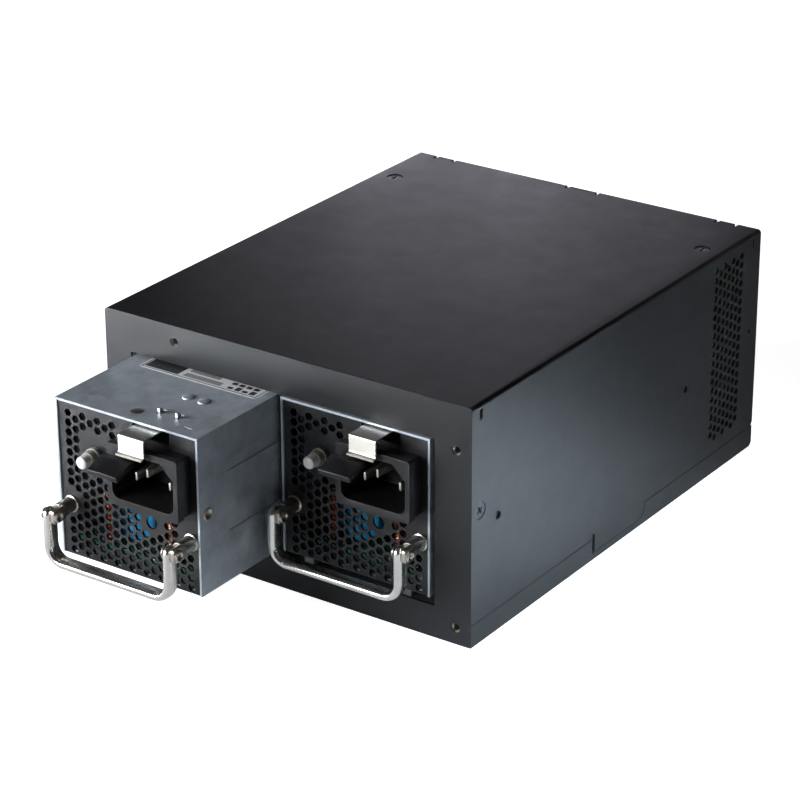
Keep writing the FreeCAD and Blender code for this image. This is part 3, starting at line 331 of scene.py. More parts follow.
def moulded(name, colour, rough=(0.34, 0.5), texture=0.35, **settings):
    """Moulded plastic with a spark-eroded texture, paler where its edges are rubbed."""
    finish = Finish(name, roughness=rough[0], **settings)
    body = finish.mottle(shade(colour, 0.85), shade(colour, 1.15), 8, 4, 0.35, 0.65)
    rubbed = finish.times(finish.edge(0.2), 0.4)
    finish.colour(finish.mixed(rubbed, body, tuple(min(1.0, c * 1.7 + 0.015) for c in colour)))
    finish.uneven(*rough, 2.2)
    finish.relief(finish.noise(0.22, 2), texture, 0.03)
    return finish.material


def black_oxide():
    finish = Finish("black_screw", metallic=0.85, roughness=0.4)
    rub = finish.times(finish.edge(0.18), finish.between(finish.noise(0.9, 4), 0.35, 0.65, 0.2, 1.0))
    finish.colour(finish.mixed(rub, (0.045, 0.046, 0.052), (0.33, 0.33, 0.34)))
    finish.uneven(0.3, 0.5, 0.7)
    finish.relief(finish.noise(0.3, 3), 0.2, 0.03)
    return finish.material


def solder_mask():
    """Board with tracks under the mask, tinned pads and pale screened marks."""
    mask = tuple(colours().mask)
    finish = Finish("circuit_board", roughness=0.3)
    tracks = finish.cells(3.4, feature="DISTANCE_TO_EDGE")
    body = finish.mixed(finish.between(tracks, 0.06, 0.10), shade(mask, 1.9), mask)
    scattered = finish.between(finish.noise(4.5, 2), 0.5, 0.56)
    pads = finish.times(finish.between(finish.cells(1.9), 0.2, 0.16), scattered)
    finish.colour(finish.mixed(pads, body, (0.62, 0.63, 0.6)))
    finish.feed(finish.surface.inputs["Metallic"], finish.times(pads, 0.9))
    finish.uneven(0.22, 0.42, 1.2)
    finish.relief(finish.sum(tracks, pads), 0.3, 0.08)
    return finish.material


def shrink_sleeve():
    sleeve = tuple(colours().sleeve)
    finish = Finish("blue_sleeve", roughness=0.22, Coat_Weight=0.4, Coat_Roughness=0.12)
    wrinkle = finish.noise(2.4, 4, finish.stretched((1.0, 0.35, 1.0)))
    finish.colour(finish.mixed(finish.between(wrinkle, 0.35, 0.65), shade(sleeve, 0.8), shade(sleeve, 1.35)))
    finish.rough(finish.between(wrinkle, 0.3, 0.7, 0.16, 0.32))
    finish.relief(wrinkle, 0.25, 0.12)
    return finish.material


def enamelled_wire():
    wire = tuple(colours().wire)
    finish = Finish("copper", metallic=0.75, roughness=0.25, Coat_Weight=0.6, Coat_Roughness=0.1)
    finish.colour(finish.mottle(shade(wire, 0.7), shade(wire, 1.5), 1.3, 4))
    finish.uneven(0.2, 0.36, 0.8)
    finish.relief(finish.noise(0.4, 2), 0.15, 0.03)
    return finish.material


def sintered_ferrite():
    finish = Finish("ferrite", roughness=0.6)
    finish.colour(finish.mottle((0.022, 0.022, 0.024), (0.075, 0.072, 0.07), 0.8, 6, 0.35, 0.7))
    finish.uneven(0.5, 0.75, 1.5, 4)
    finish.relief(finish.noise(0.35, 4), 0.4, 0.06)
    return finish.material


def label_film():
    """White film of the module's label, faintly yellowed and scuffed."""
    finish = Finish("label_film", roughness=0.35)
    finish.colour(finish.mottle((0.82, 0.82, 0.81), (0.92, 0.92, 0.91), 9, 5))
    finish.uneven(0.28, 0.45, 2, 4)
    finish.relief(finish.noise(5, 2), 0.1, 0.05)
    return finish.material


def label_ink(name, colour):
    finish = Finish(name, roughness=0.4)
    finish.colour(finish.mottle(shade(colour, 0.8), shade(colour, 1.3), 0.6, 5))
    finish.uneven(0.32, 0.5, 1.1, 4)
    finish.relief(finish.noise(0.5, 2), 0.1, 0.02)
    return finish.material


FINISHES = {
    "black_coat": powder_coat,
    "grey_paint": panel_paint,
    "zinc": galvanised,
    "chrome": lambda: plated("chrome", tuple(colours().chrome), 0.19),
    "nickel": lambda: plated("nickel", tuple(colours().nickel), 0.36),
    "satin_steel": lambda: plated("satin_steel", (0.60, 0.56, 0.49), 0.30),
    # Zinc darkened to a third: painted shade for the inside of the bay, which lies in shadow.
    "shaded_zinc": lambda: galvanised("shaded_zinc", 0.3),
    "aluminium": extruded_aluminium,
    "black_plastic": lambda: moulded("black_plastic", (0.008, 0.008, 0.0085), Specular_IOR_Level=0.35),
    "component_black": lambda: moulded("component_black", (0.022, 0.022, 0.024), (0.45, 0.6)),
    "black_screw": black_oxide,
    "circuit_board": solder_mask,
    "white_plastic": lambda: moulded("white_plastic", (0.74, 0.73, 0.69), (0.22, 0.34), 0.1,
                                     Subsurface_Weight=0.15, Subsurface_Scale=0.001),
    "cream_plastic": lambda: moulded("cream_plastic", (0.30, 0.285, 0.24), (0.3, 0.42), 0.1,
                                     Subsurface_Weight=0.2, Subsurface_Scale=0.001),
    "blue_sleeve": shrink_sleeve,
    "copper": enamelled_wire,
    "ferrite": sintered_ferrite,
    "label_film": label_film,
    "label_black": lambda: label_ink("label_black", (0.03, 0.03, 0.032)),
    "label_grey": lambda: label_ink("label_grey", (0.3, 0.3, 0.3)),
    "tape": lambda: moulded("tape", (0.55, 0.40, 0.05), (0.25, 0.4), 0.1),
    "tinned_lead": lambda: plated("tinned_lead", (0.62, 0.62, 0.6), 0.25),
}


def finish(name):
    """The material of a finish, made when it is first asked for."""
    return bpy.data.materials.get(name + "_finish") or FINISHES[name]()


# ---------------------------------------------------------------- shapes, in millimetres

def shift(x=0.0, y=0.0, z=0.0):
    return Matrix.Translation((x, y, z))


def add(whole, part, place=None):
    """Adds one closed shape to a piece."""
    if place is not None:
        part.transform(place)
    mesh = bpy.data.meshes.new("part")
    part.to_mesh(mesh)
    part.free()
    whole.from_mesh(mesh)
    bpy.data.meshes.remove(mesh)


def inked(part, index):
    """Gives a shape the piece's finish of that number."""
    for face in part.faces:
        face.material_index = index
    return part


def edges_turning(part, degrees):
    limit = math.radians(degrees)
    return [e for e in part.edges if len(e.link_faces) == 2 and e.calc_face_angle(0) > limit]


def eased(part, width, segments=2, degrees=35):
    """Rounds the edges of a shape."""
    bmesh.ops.bevel(part, geom=edges_turning(part, degrees), offset=width, offset_type="OFFSET", affect="EDGES",
                    segments=segments, profile=0.5, material=-1, clamp_overlap=True)
    return part


def box(x, y, z):
    """A box between pairs of limits."""
    part = bmesh.new()
    bmesh.ops.create_cube(part, size=1.0)
    bmesh.ops.scale(part, verts=part.verts, vec=(x[1] - x[0], y[1] - y[0], z[1] - z[0]))
    bmesh.ops.translate(part, verts=part.verts, vec=((x[0] + x[1]) / 2, (y[0] + y[1]) / 2, (z[0] + z[1]) / 2))
    return part


def block(x, y, z, width):
    """A box between pairs of limits, with its edges rounded."""
    return eased(box(x, y, z), width)


def turned(profile, steps=40):
    """A profile of (radius, height) turned round the Z axis."""
    part = bmesh.new()
    verts = [part.verts.new((radius, 0, height)) for radius, height in profile]
    edges = [part.edges.new(pair) for pair in zip(verts, verts[1:])]
    bmesh.ops.spin(part, geom=verts + edges, cent=(0, 0, 0), axis=(0, 0, 1), angle=math.tau, steps=steps,
                   use_merge=True)
    bmesh.ops.remove_doubles(part, verts=part.verts, dist=1e-4)
    bmesh.ops.recalc_face_normals(part, faces=part.faces)
    return part


def pushed(corners, depth, rounding=0.0, segments=5):
    """A flat outline of (x, y) pushed up by a depth, with its corners rounded."""
    part = bmesh.new()
    part.faces.new([part.verts.new((a, b, 0)) for a, b in corners])
    if rounding:
        bmesh.ops.bevel(part, geom=part.verts[:], offset=rounding, affect="VERTICES", segments=segments,
                        profile=0.5, material=-1)
    grown = bmesh.ops.extrude_face_region(part, geom=part.faces[:])
    lifted = [v for v in grown["geom"] if isinstance(v, bmesh.types.BMVert)]
    bmesh.ops.translate(part, verts=lifted, vec=(0, 0, depth))
    bmesh.ops.recalc_face_normals(part, faces=part.faces)
    return part


def flat_bar(x, y, depth, rounding, segments=5):
    """A plate between pairs of limits, with its corners rounded."""
    corners = [(x[0], y[0]), (x[1], y[0]), (x[1], y[1]), (x[0], y[1])]
    return pushed(corners, depth, rounding, segments)


def folded(line, width, thickness, bend, segments=5):
    """A strip that follows a line of (y, z), folded at its corners, with its left side at x = 0."""
    part = bmesh.new()
    verts = [part.verts.new((0, y, z)) for y, z in line]
    edges = [part.edges.new(pair) for pair in zip(verts, verts[1:])]
    grown = bmesh.ops.extrude_edge_only(part, edges=edges)
    lifted = [v for v in grown["geom"] if isinstance(v, bmesh.types.BMVert)]
    bmesh.ops.translate(part, verts=lifted, vec=(width, 0, 0))
    folds = edges_turning(part, 8)
    if folds:
        bmesh.ops.bevel(part, geom=folds, offset=bend, affect="EDGES", segments=segments, profile=0.5,
                        material=-1, clamp_overlap=True)
    bmesh.ops.recalc_face_normals(part, faces=part.faces)
    bmesh.ops.solidify(part, geom=part.faces[:], thickness=thickness)
    bmesh.ops.recalc_face_normals(part, faces=part.faces)
    return part


def tapered(part, edges, share, step, close=True):
    """Draws a ring of edges down by a step, narrowed round the Z axis, and closes its end."""
    grown = bmesh.ops.extrude_edge_only(part, edges=edges)["geom"]
    moved = [v for v in grown if isinstance(v, bmesh.types.BMVert)]
    bmesh.ops.scale(part, verts=moved, vec=(share, share, 1.0))
    bmesh.ops.translate(part, verts=moved, vec=(0, 0, step))
    end = [e for e in grown if isinstance(e, bmesh.types.BMEdge) and all(v in moved for v in e.verts)]
    if close:
        bmesh.ops.edgeloop_fill(part, edges=end)
    return end


def hand_over(name, whole, body, finishes, replaces=(), edge=0.0, segments=2):
    """Makes a piece of a shape: metres, finishes, smooth faces, its body and the nodes it stands for."""
    whole.transform(Matrix.Scale(MM, 4))
    mesh = bpy.data.meshes.new(name)
    whole.to_mesh(mesh)
    whole.free()
    mesh.shade_smooth()
    mesh.set_sharp_from_angle(angle=SHARP_ANGLE)
    for each in finishes:
        mesh.materials.append(finish(each))
    piece = bpy.data.objects.new(name, mesh)
    bpy.context.scene.collection.objects.link(piece)
    if edge:
        rounding = piece.modifiers.new("edges", "BEVEL")
        rounding.width = edge * MM
        rounding.segments = segments
        rounding.limit_method = "ANGLE"
        rounding.angle_limit = SHARP_ANGLE
        rounding.harden_normals = True
    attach(piece, body)
    if replaces:
        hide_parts(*replaces)


def dress(node, edge=None, segments=2, coat=None):
    """A merged copy of a CAD node, with its edges broken and its finish on."""
    whole = bmesh.new()
    whole.from_mesh(NODES[node].data)
    whole.transform(Matrix.Scale(1 / MM, 4))
    bmesh.ops.remove_doubles(whole, verts=whole.verts, dist=1e-3)
    bmesh.ops.dissolve_limit(whole, angle_limit=math.radians(0.4), verts=whole.verts, edges=whole.edges)
    width = sizes().edge_break if edge is None else edge
    hand_over(node + "_dressed", whole, NODES[node]["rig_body"], [coat or SLOTS[node]], [node], width, segments)


def fit(side, name, whole, body, finishes, node="", edge=0.0, place=Matrix()):
    """Hands over a piece of one module, from its place in the module."""
    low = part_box(side + "_shell")[0] / MM
    whole.transform(shift(low.x, low.y) @ place)
    hand_over(side + "_" + name, whole, side + "_" + body, finishes, [side + "_" + node] if node else (), edge)


# ---------------------------------------------------------------- handle

POST_XS = (4.9, 55.6)
POST_Z = 33.3
PIVOT_Y = -10.0
LEG_SETBACK = 2.4


def bail_shape():
    """Bow of rounded flat bar: two legs with round eyes and a bar between them."""
    thick, deep, corner, drop = 3.2, 5.6, 7.5, 18.3
    left = POST_XS[0] - LEG_SETBACK
    right = POST_XS[1] - LEG_SETBACK + thick
    low = POST_Z - drop
    bow = bmesh.new()
    bmesh.ops.create_grid(bow, x_segments=1, y_segments=2, size=0.5)
    corners = [v for v in bow.verts if abs(v.co.y) > 0.1]
    bmesh.ops.bevel(bow, geom=corners, offset=0.42, affect="VERTICES", segments=7, profile=0.5, material=-1)
    bmesh.ops.scale(bow, verts=bow.verts, vec=(thick, deep, 1))
    bmesh.ops.translate(bow, verts=bow.verts, vec=(left + thick / 2, PIVOT_Y, POST_Z))
    middle = [e for e in bow.edges if len(e.link_faces) == 2]
    bmesh.ops.delete(bow, geom=bow.faces[:], context="FACES_ONLY")
    bmesh.ops.delete(bow, geom=middle, context="EDGES")
    start = bow.edges[:]

    def runs(edges, step):
        grown = bmesh.ops.extrude_edge_only(bow, edges=edges)
        moved = [v for v in grown["geom"] if isinstance(v, bmesh.types.BMVert)]
        bmesh.ops.translate(bow, verts=moved, vec=step)
        return [e for e in grown["geom"] if isinstance(e, bmesh.types.BMEdge)]

    def turns(edges, centre, axis, angle, steps):
        verts = list({v for e in edges for v in e.verts})
        last = bmesh.ops.spin(bow, geom=verts + list(edges), cent=centre, axis=axis, angle=angle, steps=steps)
        return [e for e in last["geom_last"] if isinstance(e, bmesh.types.BMEdge)]

    quarter = math.pi / 2
    ring = runs(start, (0, 0, low + corner - POST_Z))
    ring = turns(ring, (left + corner, PIVOT_Y, low + corner), (0, 1, 0), -quarter, 14)
    ring = runs(ring, (right - left - 2 * corner, 0, 0))
    ring = turns(ring, (right - corner, PIVOT_Y, low + corner), (0, 1, 0), -quarter, 14)
    end = runs(ring, (0, 0, POST_Z - low - corner))
    for ends, x in ((start, left + thick / 2), (end, right - thick / 2)):
        half = [e for e in ends if all(v.co.y > PIVOT_Y - 1e-4 for v in e.verts)]
        turns(half, (x, PIVOT_Y, POST_Z), (1, 0, 0), math.pi, 16)
    bmesh.ops.remove_doubles(bow, verts=bow.verts, dist=1e-3)
    bmesh.ops.recalc_face_normals(bow, faces=bow.faces)
    return bow


def post_shape():
    """Turned post with a shoulder, lapped to half its width at the tip and rounded off round the rivet."""
    post = bmesh.new()
    shaft = turned([(0, -2.6), (1.9, -2.6), (1.9, 0.0), (3.1, 0.0), (3.1, 0.7), (2.6, 1.0), (2.6, 6.9),
                    (2.3, 7.3), (0, 7.3)])
    add(post, shaft, FORWARD)
    ear = pushed([(-5.9, -2.5), (-5.9, 2.5), (-12.55, 2.5), (-12.55, -2.5)], 1.7, 1.2)
    add(post, eased(ear, 0.25), shift(0.9) @ YZ_PLANE)
    return post


def rivet_shape():
    """Tubular rivet: domed head, shank, and a rolled ring with an open bore."""
    return turned([(0, -1.1), (0.9, -1.05), (1.6, -0.8), (2.1, -0.25), (2.1, -0.02), (1.2, 0.0), (1.2, 5.0),
                   (1.45, 5.0), (1.9, 5.2), (2.1, 5.6), (1.95, 6.0), (1.5, 6.15), (1.1, 6.0), (0.75, 5.6),
                   (0.7, 4.6), (0, 4.6)], 32)


class MakeBailHandles(bpy.types.Operator):
    """Bail handles, their posts and the tubular rivets that they turn on"""

    bl_idname = "power_supply.bail_handles"
    bl_label = "Bail handles"

    def execute(self, context):
        for side in SIDES:
            fit(side, "bail_bow", bail_shape(), "bail", ["chrome"], "bail")
            posts = bmesh.new()
            rivets = bmesh.new()
            for x in POST_XS:
                add(posts, post_shape(), shift(x, 0.6, POST_Z))
                add(rivets, rivet_shape(), shift(x - LEG_SETBACK - 0.1, PIVOT_Y, POST_Z) @ RIGHTWARD)
            fit(side, "handle_posts", posts, "module", ["satin_steel"], "bail_posts", 0.12)
            fit(side, "handle_rivets", rivets, "module", ["satin_steel"], "bail_rivets")
        return {"FINISHED"}


# ---------------------------------------------------------------- latch

LEAF_X = 33.8
LEAF_WIDTH = 12.8
LEAF_TOP = 70.2
LEAF_SHEET = 0.6
NOSE_WIDTH = 10.6
NOSE_Y = -8.9
NOSE_FOOT = 63.2
TOOTH_XS = (36.7, 44.0)
TAB_X = 28.3
TAB_WIDTH = 12.5
LEAF_RIVET_XS = (36.9, 43.4)
LEAF_RIVET_Y = 24.5


def latch_leaf_shape():
    """Spring leaf: arm with two teeth, and a nose folded down at its front."""
    leaf = bmesh.new()
    half = LEAF_SHEET / 2
    middle = LEAF_TOP - half
    front = NOSE_Y + half
    add(leaf, block((LEAF_X, LEAF_X + LEAF_WIDTH), (2.4, 27.0), (LEAF_TOP - LEAF_SHEET, LEAF_TOP), 0.12))
    line = [(2.8, middle), (front, middle), (front, NOSE_FOOT + half), (front - 1.5, NOSE_FOOT + half)]
    add(leaf, eased(folded(line, NOSE_WIDTH, LEAF_SHEET, 0.8), 0.1, 1, 60), shift(LEAF_X))
    for x in TOOTH_XS:
        tooth = pushed([(9.2, 69.8), (11.8, 69.8), (10.4, 72.7), (9.9, 72.9), (9.2, 72.9)], 1.2)
        tooth.transform(YZ_PLANE)
        add(leaf, eased(tooth, 0.18), shift(x - 0.6))
    return leaf


def press_tab_shape():
    """Moulded press tab: a slab that leaves the nose, dips and runs out to a blunt lip."""
    line = [(-8.7, 61.9), (-11.2, 62.0), (-13.4, 61.2), (-16.4, 60.2), (-18.4, 59.8)]
    return eased(folded(line, TAB_WIDTH, 2.2, 1.3, 4), 0.32, 3, 50)


class MakeLatches(bpy.types.Operator):
    """Latch leaves, their press tabs and the rivets that hold them"""

    bl_idname = "power_supply.latches"
    bl_label = "Latches"

    def execute(self, context):
        for side in SIDES:
            fit(side, "spring_leaf", latch_leaf_shape(), "latch", ["nickel"], "latch_leaf")
            fit(side, "press_tab", press_tab_shape(), "latch", ["black_plastic"], "latch_tab",
                place=shift(TAB_X))
            rivets = bmesh.new()
            head = [(0, 0.62), (1.5, 0.55), (2.1, 0.3), (2.25, 0.0), (1.4, 0.0), (1.4, -2.1), (1.8, -2.1),
                    (1.8, -2.55), (0, -2.6)]
            for x in LEAF_RIVET_XS:
                add(rivets, turned(head, 32), shift(x, LEAF_RIVET_Y, MODULE_TOP))
            fit(side, "leaf_rivets", rivets, "module", ["zinc"], "latch_rivets")
        return {"FINISHED"}


# ---------------------------------------------------------------- inlet and button

BLADE_PLACES = ((34.8, 52.0, -1.3), (48.8, 52.0, -1.3), (41.8, 56.0, -4.0))
BLADE_ROOT = 19.8
BUTTON_X = 16.3
BUTTON_Z = 54.0
SWITCH_HALF = 4.0
SWITCH_LEG_REACH = 2.5


def blade_shape(tip):
    """Contact blade with a wedged tip."""
    blade = box((-1.0, 1.0), (tip, BLADE_ROOT), (-2.0, 2.0))
    nose = [v for v in blade.verts if abs(v.co.y - tip) < 1e-3]
    bmesh.ops.scale(blade, verts=nose, vec=(0.45, 1.0, 0.72))
    return eased(blade, 0.2)


class MakeInlets(bpy.types.Operator):
    """Mains inlets with their blades"""

    bl_idname = "power_supply.inlets"
    bl_label = "Mains inlets"

    def execute(self, context):
        for side in SIDES:
            dress(side + "_inlet", sizes().moulded_edge, 3)
            blades = bmesh.new()
            for x, z, tip in BLADE_PLACES:
                add(blades, blade_shape(tip), shift(x, 0, z))
            fit(side, "contact_blades", blades, "module", ["nickel"], "inlet_blades")
        return {"FINISHED"}


class MakeResetButtons(bpy.types.Operator):
    """Reset buttons and the collars that guide them"""

    bl_idname = "power_supply.reset_buttons"
    bl_label = "Reset buttons"

    def execute(self, context):
        for side in SIDES:
            button = turned([(0, -1.4), (2.2, -1.4), (2.2, 3.7), (2.05, 4.15), (1.7, 4.4), (1.1, 4.52),
                             (0, 4.55)])
            fit(side, "button_cap", button, "button", ["white_plastic"], "reset_button",
                place=shift(BUTTON_X, -2.9, BUTTON_Z) @ FORWARD)
            switch = bmesh.new()
            collar = turned([(2.3, -1.4), (2.75, -1.4), (2.75, 0.7), (3.1, 0.7), (3.1, 1.2), (2.75, 1.5),
                             (2.7, 3.6), (2.6, 3.9), (2.4, 3.95), (2.3, 3.8), (2.3, -1.4)])
            add(switch, collar, shift(BUTTON_X, 0.0, BUTTON_Z) @ FORWARD)
            add(switch, block((BUTTON_X - SWITCH_HALF, BUTTON_X + SWITCH_HALF), (1.6, 7.6),
                              (BUTTON_Z - SWITCH_HALF, BUTTON_Z + SWITCH_HALF), 0.4))
            for x in (BUTTON_X - SWITCH_LEG_REACH, BUTTON_X + SWITCH_LEG_REACH):
                for z in (BUTTON_Z - SWITCH_LEG_REACH, BUTTON_Z + SWITCH_LEG_REACH):
                    add(switch, inked(block((x - 0.3, x + 0.3), (7.5, 10.4), (z - 0.2, z + 0.2), 0.08), 1))
            fit(side, "button_collar", switch, "module", ["cream_plastic", "tinned_lead"], "reset_switch")
        return {"FINISHED"}


# ---------------------------------------------------------------- sheet metal

HEAD_RADIUS = 2.8
SHANK_RADIUS = 1.45
HEAD_SUNK = 0.25
COVER_SCREW_INSET = 8.4
COVER_SCREW_Y = 161.5
SIDE_SCREW_Y = 5.1
SIDE_SCREW_Z = 48.3
CHASSIS_HOLES = ((6.0, 6.0), (144.0, 6.0), (144.0, 70.0), (30.0, 80.0))
SIDE_RIVET_Y = 4.3
SIDE_RIVET_Z = 43.0
TOP_RIVET_Y = 6.4


def countersunk_shape():
    """Countersunk screw: a flat head with a tapered cross recess, a cone under it and a shank."""
    reach, half, recess_depth, recess_taper = 1.75, 0.42, 1.1, 0.45
    cone_depth, shank_length, tip_length, tip_taper = 1.5, 4.5, 0.6, 0.7
    screw = bmesh.new()
    rim = bmesh.ops.create_circle(screw, cap_ends=False, segments=36, radius=HEAD_RADIUS)["verts"]
    cross = [(half, half), (half, reach), (-half, reach), (-half, half), (-reach, half), (-reach, -half),
             (-half, -half), (-half, -reach), (half, -reach), (half, -half), (reach, -half), (reach, half)]
    corners = [screw.verts.new((x, y, 0)) for x, y in cross]
    slot = [screw.edges.new(pair) for pair in zip(corners, corners[1:] + corners[:1])]
    outside = [e for e in screw.edges if e.verts[0] in rim]
    bmesh.ops.triangle_fill(screw, use_beauty=True, edges=screw.edges[:])
    tapered(screw, slot, recess_taper, -recess_depth)
    cone = tapered(screw, outside, SHANK_RADIUS / HEAD_RADIUS, -cone_depth, close=False)
    shank = tapered(screw, cone, 1.0, -shank_length, close=False)
    tapered(screw, shank, tip_taper, -tip_length)
    bmesh.ops.recalc_face_normals(screw, faces=screw.faces)
    return screw


class DressCage(bpy.types.Operator):
    """Sheet metal of the cage, with its screws"""

    bl_idname = "power_supply.cage"
    bl_label = "Cage"

    def execute(self, context):
        dress("base_tray", 0.4, 3)
        for node in ("top_cover", "front_frame", "rear_panel", "bay_divider", "backplane_bracket"):
            dress(node)
        # The bay's tray and roof take the darkened zinc, painted shade inside the bay.
        for node in ("bay_tray", "bay_roof"):
            dress(node, coat="shaded_zinc")
        dress("cable_grommet", sizes().moulded_edge)
        for node in ("backplane_board", "module_sockets", "board_standoffs", "alarm_buzzer"):
            dress(node, 0.1)
        low, high = (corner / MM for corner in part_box("top_cover"))
        screws = bmesh.new()
        for x in (low.x + COVER_SCREW_INSET, high.x - COVER_SCREW_INSET):
            add(screws, countersunk_shape(), shift(x, low.y + COVER_SCREW_Y, high.z - HEAD_SUNK))
        driven = Matrix.Rotation(0.5, 4, "Z")
        for x, way in ((low.x + HEAD_SUNK, LEFTWARD), (high.x - HEAD_SUNK, RIGHTWARD)):
            add(screws, countersunk_shape(), shift(x, low.y + SIDE_SCREW_Y, SIDE_SCREW_Z) @ way @ driven)
        hand_over("cross_screws", screws, "cage", ["black_screw"], ["cover_screws"])
        bushings = bmesh.new()
        ring = [(1.15, -0.5), (1.5, -0.1), (1.6, -0.1), (1.6, -3.6), (1.15, -3.6), (1.15, -0.5)]
        for x, z in CHASSIS_HOLES:
            add(bushings, turned(ring, 32), shift(low.x + x, low.y + 0.3, z) @ FORWARD)
        hand_over("chassis_bushings", bushings, "cage", ["satin_steel"])
        return {"FINISHED"}


class DressModules(bpy.types.Operator):
    """Sheet metal of the modules, with its rivets"""

    bl_idname = "power_supply.modules"
    bl_label = "Module sheet metal"

    def execute(self, context):
        for side in SIDES:
            dress(side + "_shell")
            dress(side + "_tray")
            dress(side + "_front_panel", 0.12)
            dress(side + "_rear_plate")
            rivets = bmesh.new()
            head = [(1.0, -0.5), (1.35, 0.1), (1.9, 0.38), (2.25, 0.2), (2.25, 0.0), (1.5, 0.0), (1.5, -1.8),
                    (0, -1.8), (0, -0.9), (0.8, -0.9), (1.0, -0.5)]
            for x, way in ((0, LEFTWARD), (SHELL_WIDTH, RIGHTWARD)):
                add(rivets, turned(head, 32), shift(x, SIDE_RIVET_Y, SIDE_RIVET_Z) @ way)
            dome = [(0, 0.42), (1.2, 0.4), (1.9, 0.25), (2.25, 0.0), (1.5, 0.0), (1.5, -0.8), (0, -0.8)]
            add(rivets, turned(dome, 32), shift(SHELL_MIDDLE, TOP_RIVET_Y, MODULE_TOP))
            fit(side, "case_rivets", rivets, "module", ["satin_steel"], "shell_rivets")
        return {"FINISHED"}


class MakeLabels(bpy.types.Operator):
    """Film labels on the modules' tops, with a layout of bars and no lettering"""

    bl_idname = "power_supply.labels"
    bl_label = "Module labels"

    def execute(self, context):
        for side in SIDES:
            x0, x1, y0 = 6.7, 56.2, 35.5
            y1 = y0 + sizes().label_length
            bars = [((x0 + 1.5, x0 + 15.5), (y0 + 1.6, y0 + 8.2), 1),
                    ((x0 + 17.5, x0 + 33.0), (y0 + 1.8, y0 + 4.4), 2),
                    ((x0 + 17.5, x0 + 30.0), (y0 + 5.6, y0 + 7.6), 2)]
            for i in range(4):
                start = x0 + 36.0 + 3.0 * i
                bars.append(((start, start + 2.1), (y0 + 1.8, y0 + 3.4 + (i % 2)), 1))
                bars.append(((start - 0.6, start + 1.6), (y0 + 5.2, y0 + 7.0), 1))
            outline = (y0 + 0.95, y1 - 0.9)
            bars += [((x0 + 0.8, x1 - 0.8), (y0 + 0.7, y0 + 0.95), 1), ((x0 + 0.8, x0 + 1.05), outline, 1),
                     ((x1 - 1.05, x1 - 0.8), outline, 1)]
            for row in range(5):
                level = y0 + 7.0 * row
                bars.append(((x0 + 2.0, x1 - 2.0 - 4.0 * (row % 2)), (level + 13.0, level + 16.0), 2))
            label = bmesh.new()
            add(label, flat_bar((x0, x1), (y0, y1), 0.06, 1.5), shift(z=MODULE_TOP - 0.02))
            for x, y, index in bars:
                add(label, inked(flat_bar(x, y, 0.05, 0.25, 2), index), shift(z=MODULE_TOP + 0.03))
            fit(side, "top_label", label, "module", ["label_film", "label_black", "label_grey"])
        return {"FINISHED"}


# ---------------------------------------------------------------- electronics

CAGE_FRONT = -95.0


def wound_choke(height, turns):
    """Rod choke: a dark bobbin, and wire wound up it turn by turn."""
    choke = bmesh.new()
    core = [(0, 0), (2.8, 0), (2.8, 1.2), (1.5, 1.2), (1.5, height - 1.2), (2.6, height - 1.2), (2.6, height),
            (0, height)]
    add(choke, inked(turned(core, 24), 1))
    pitch = (height - 2.6) / turns
    for i in range(turns):
        level = 1.3 + pitch * (i + 0.5)
        half = pitch * 0.48
        ring = turned([(1.5, level - half), (1.95, level - half * 0.8), (2.2, level),
                       (1.95, level + half * 0.8), (1.5, level + half)], 24)
        add(choke, ring)
    return choke


def capacitor_shape():
    """Can capacitor in a sleeve that folds over its rim, with a scored vent in its top."""
    can = bmesh.new()
    add(can, turned([(0, 0.3), (6.4, 0.3), (6.9, 0.1), (8.4, 0.0), (8.9, 0.4), (9.0, 1.0), (9.0, 31.0),
                     (8.4, 32.0), (9.0, 33.0), (9.0, 34.6), (8.7, 35.0), (0, 35.0)], 48))
    for turn in (20, 80, 140):
        score = block((-5.0, 5.0), (-0.2, 0.2), (0.18, 0.5), 0.06)
        add(can, inked(score, 1), Matrix.Rotation(math.radians(turn), 4, "Z"))
    return can


def chip_row(whole, spots):
    """Small packages with tinned ends, standing on a board."""
    level = BOARD_TOP
    for x, y, width, length, high in spots:
        add(whole, inked(block((x, x + width), (y, y + length), (level, level + high), 0.12), 1))
        for end in (x - 0.35, x + width):
            pad = block((end, end + 0.35), (y + 0.15, y + length - 0.15), (level, level + high * 0.55), 0.05)
            add(whole, inked(pad, 2))


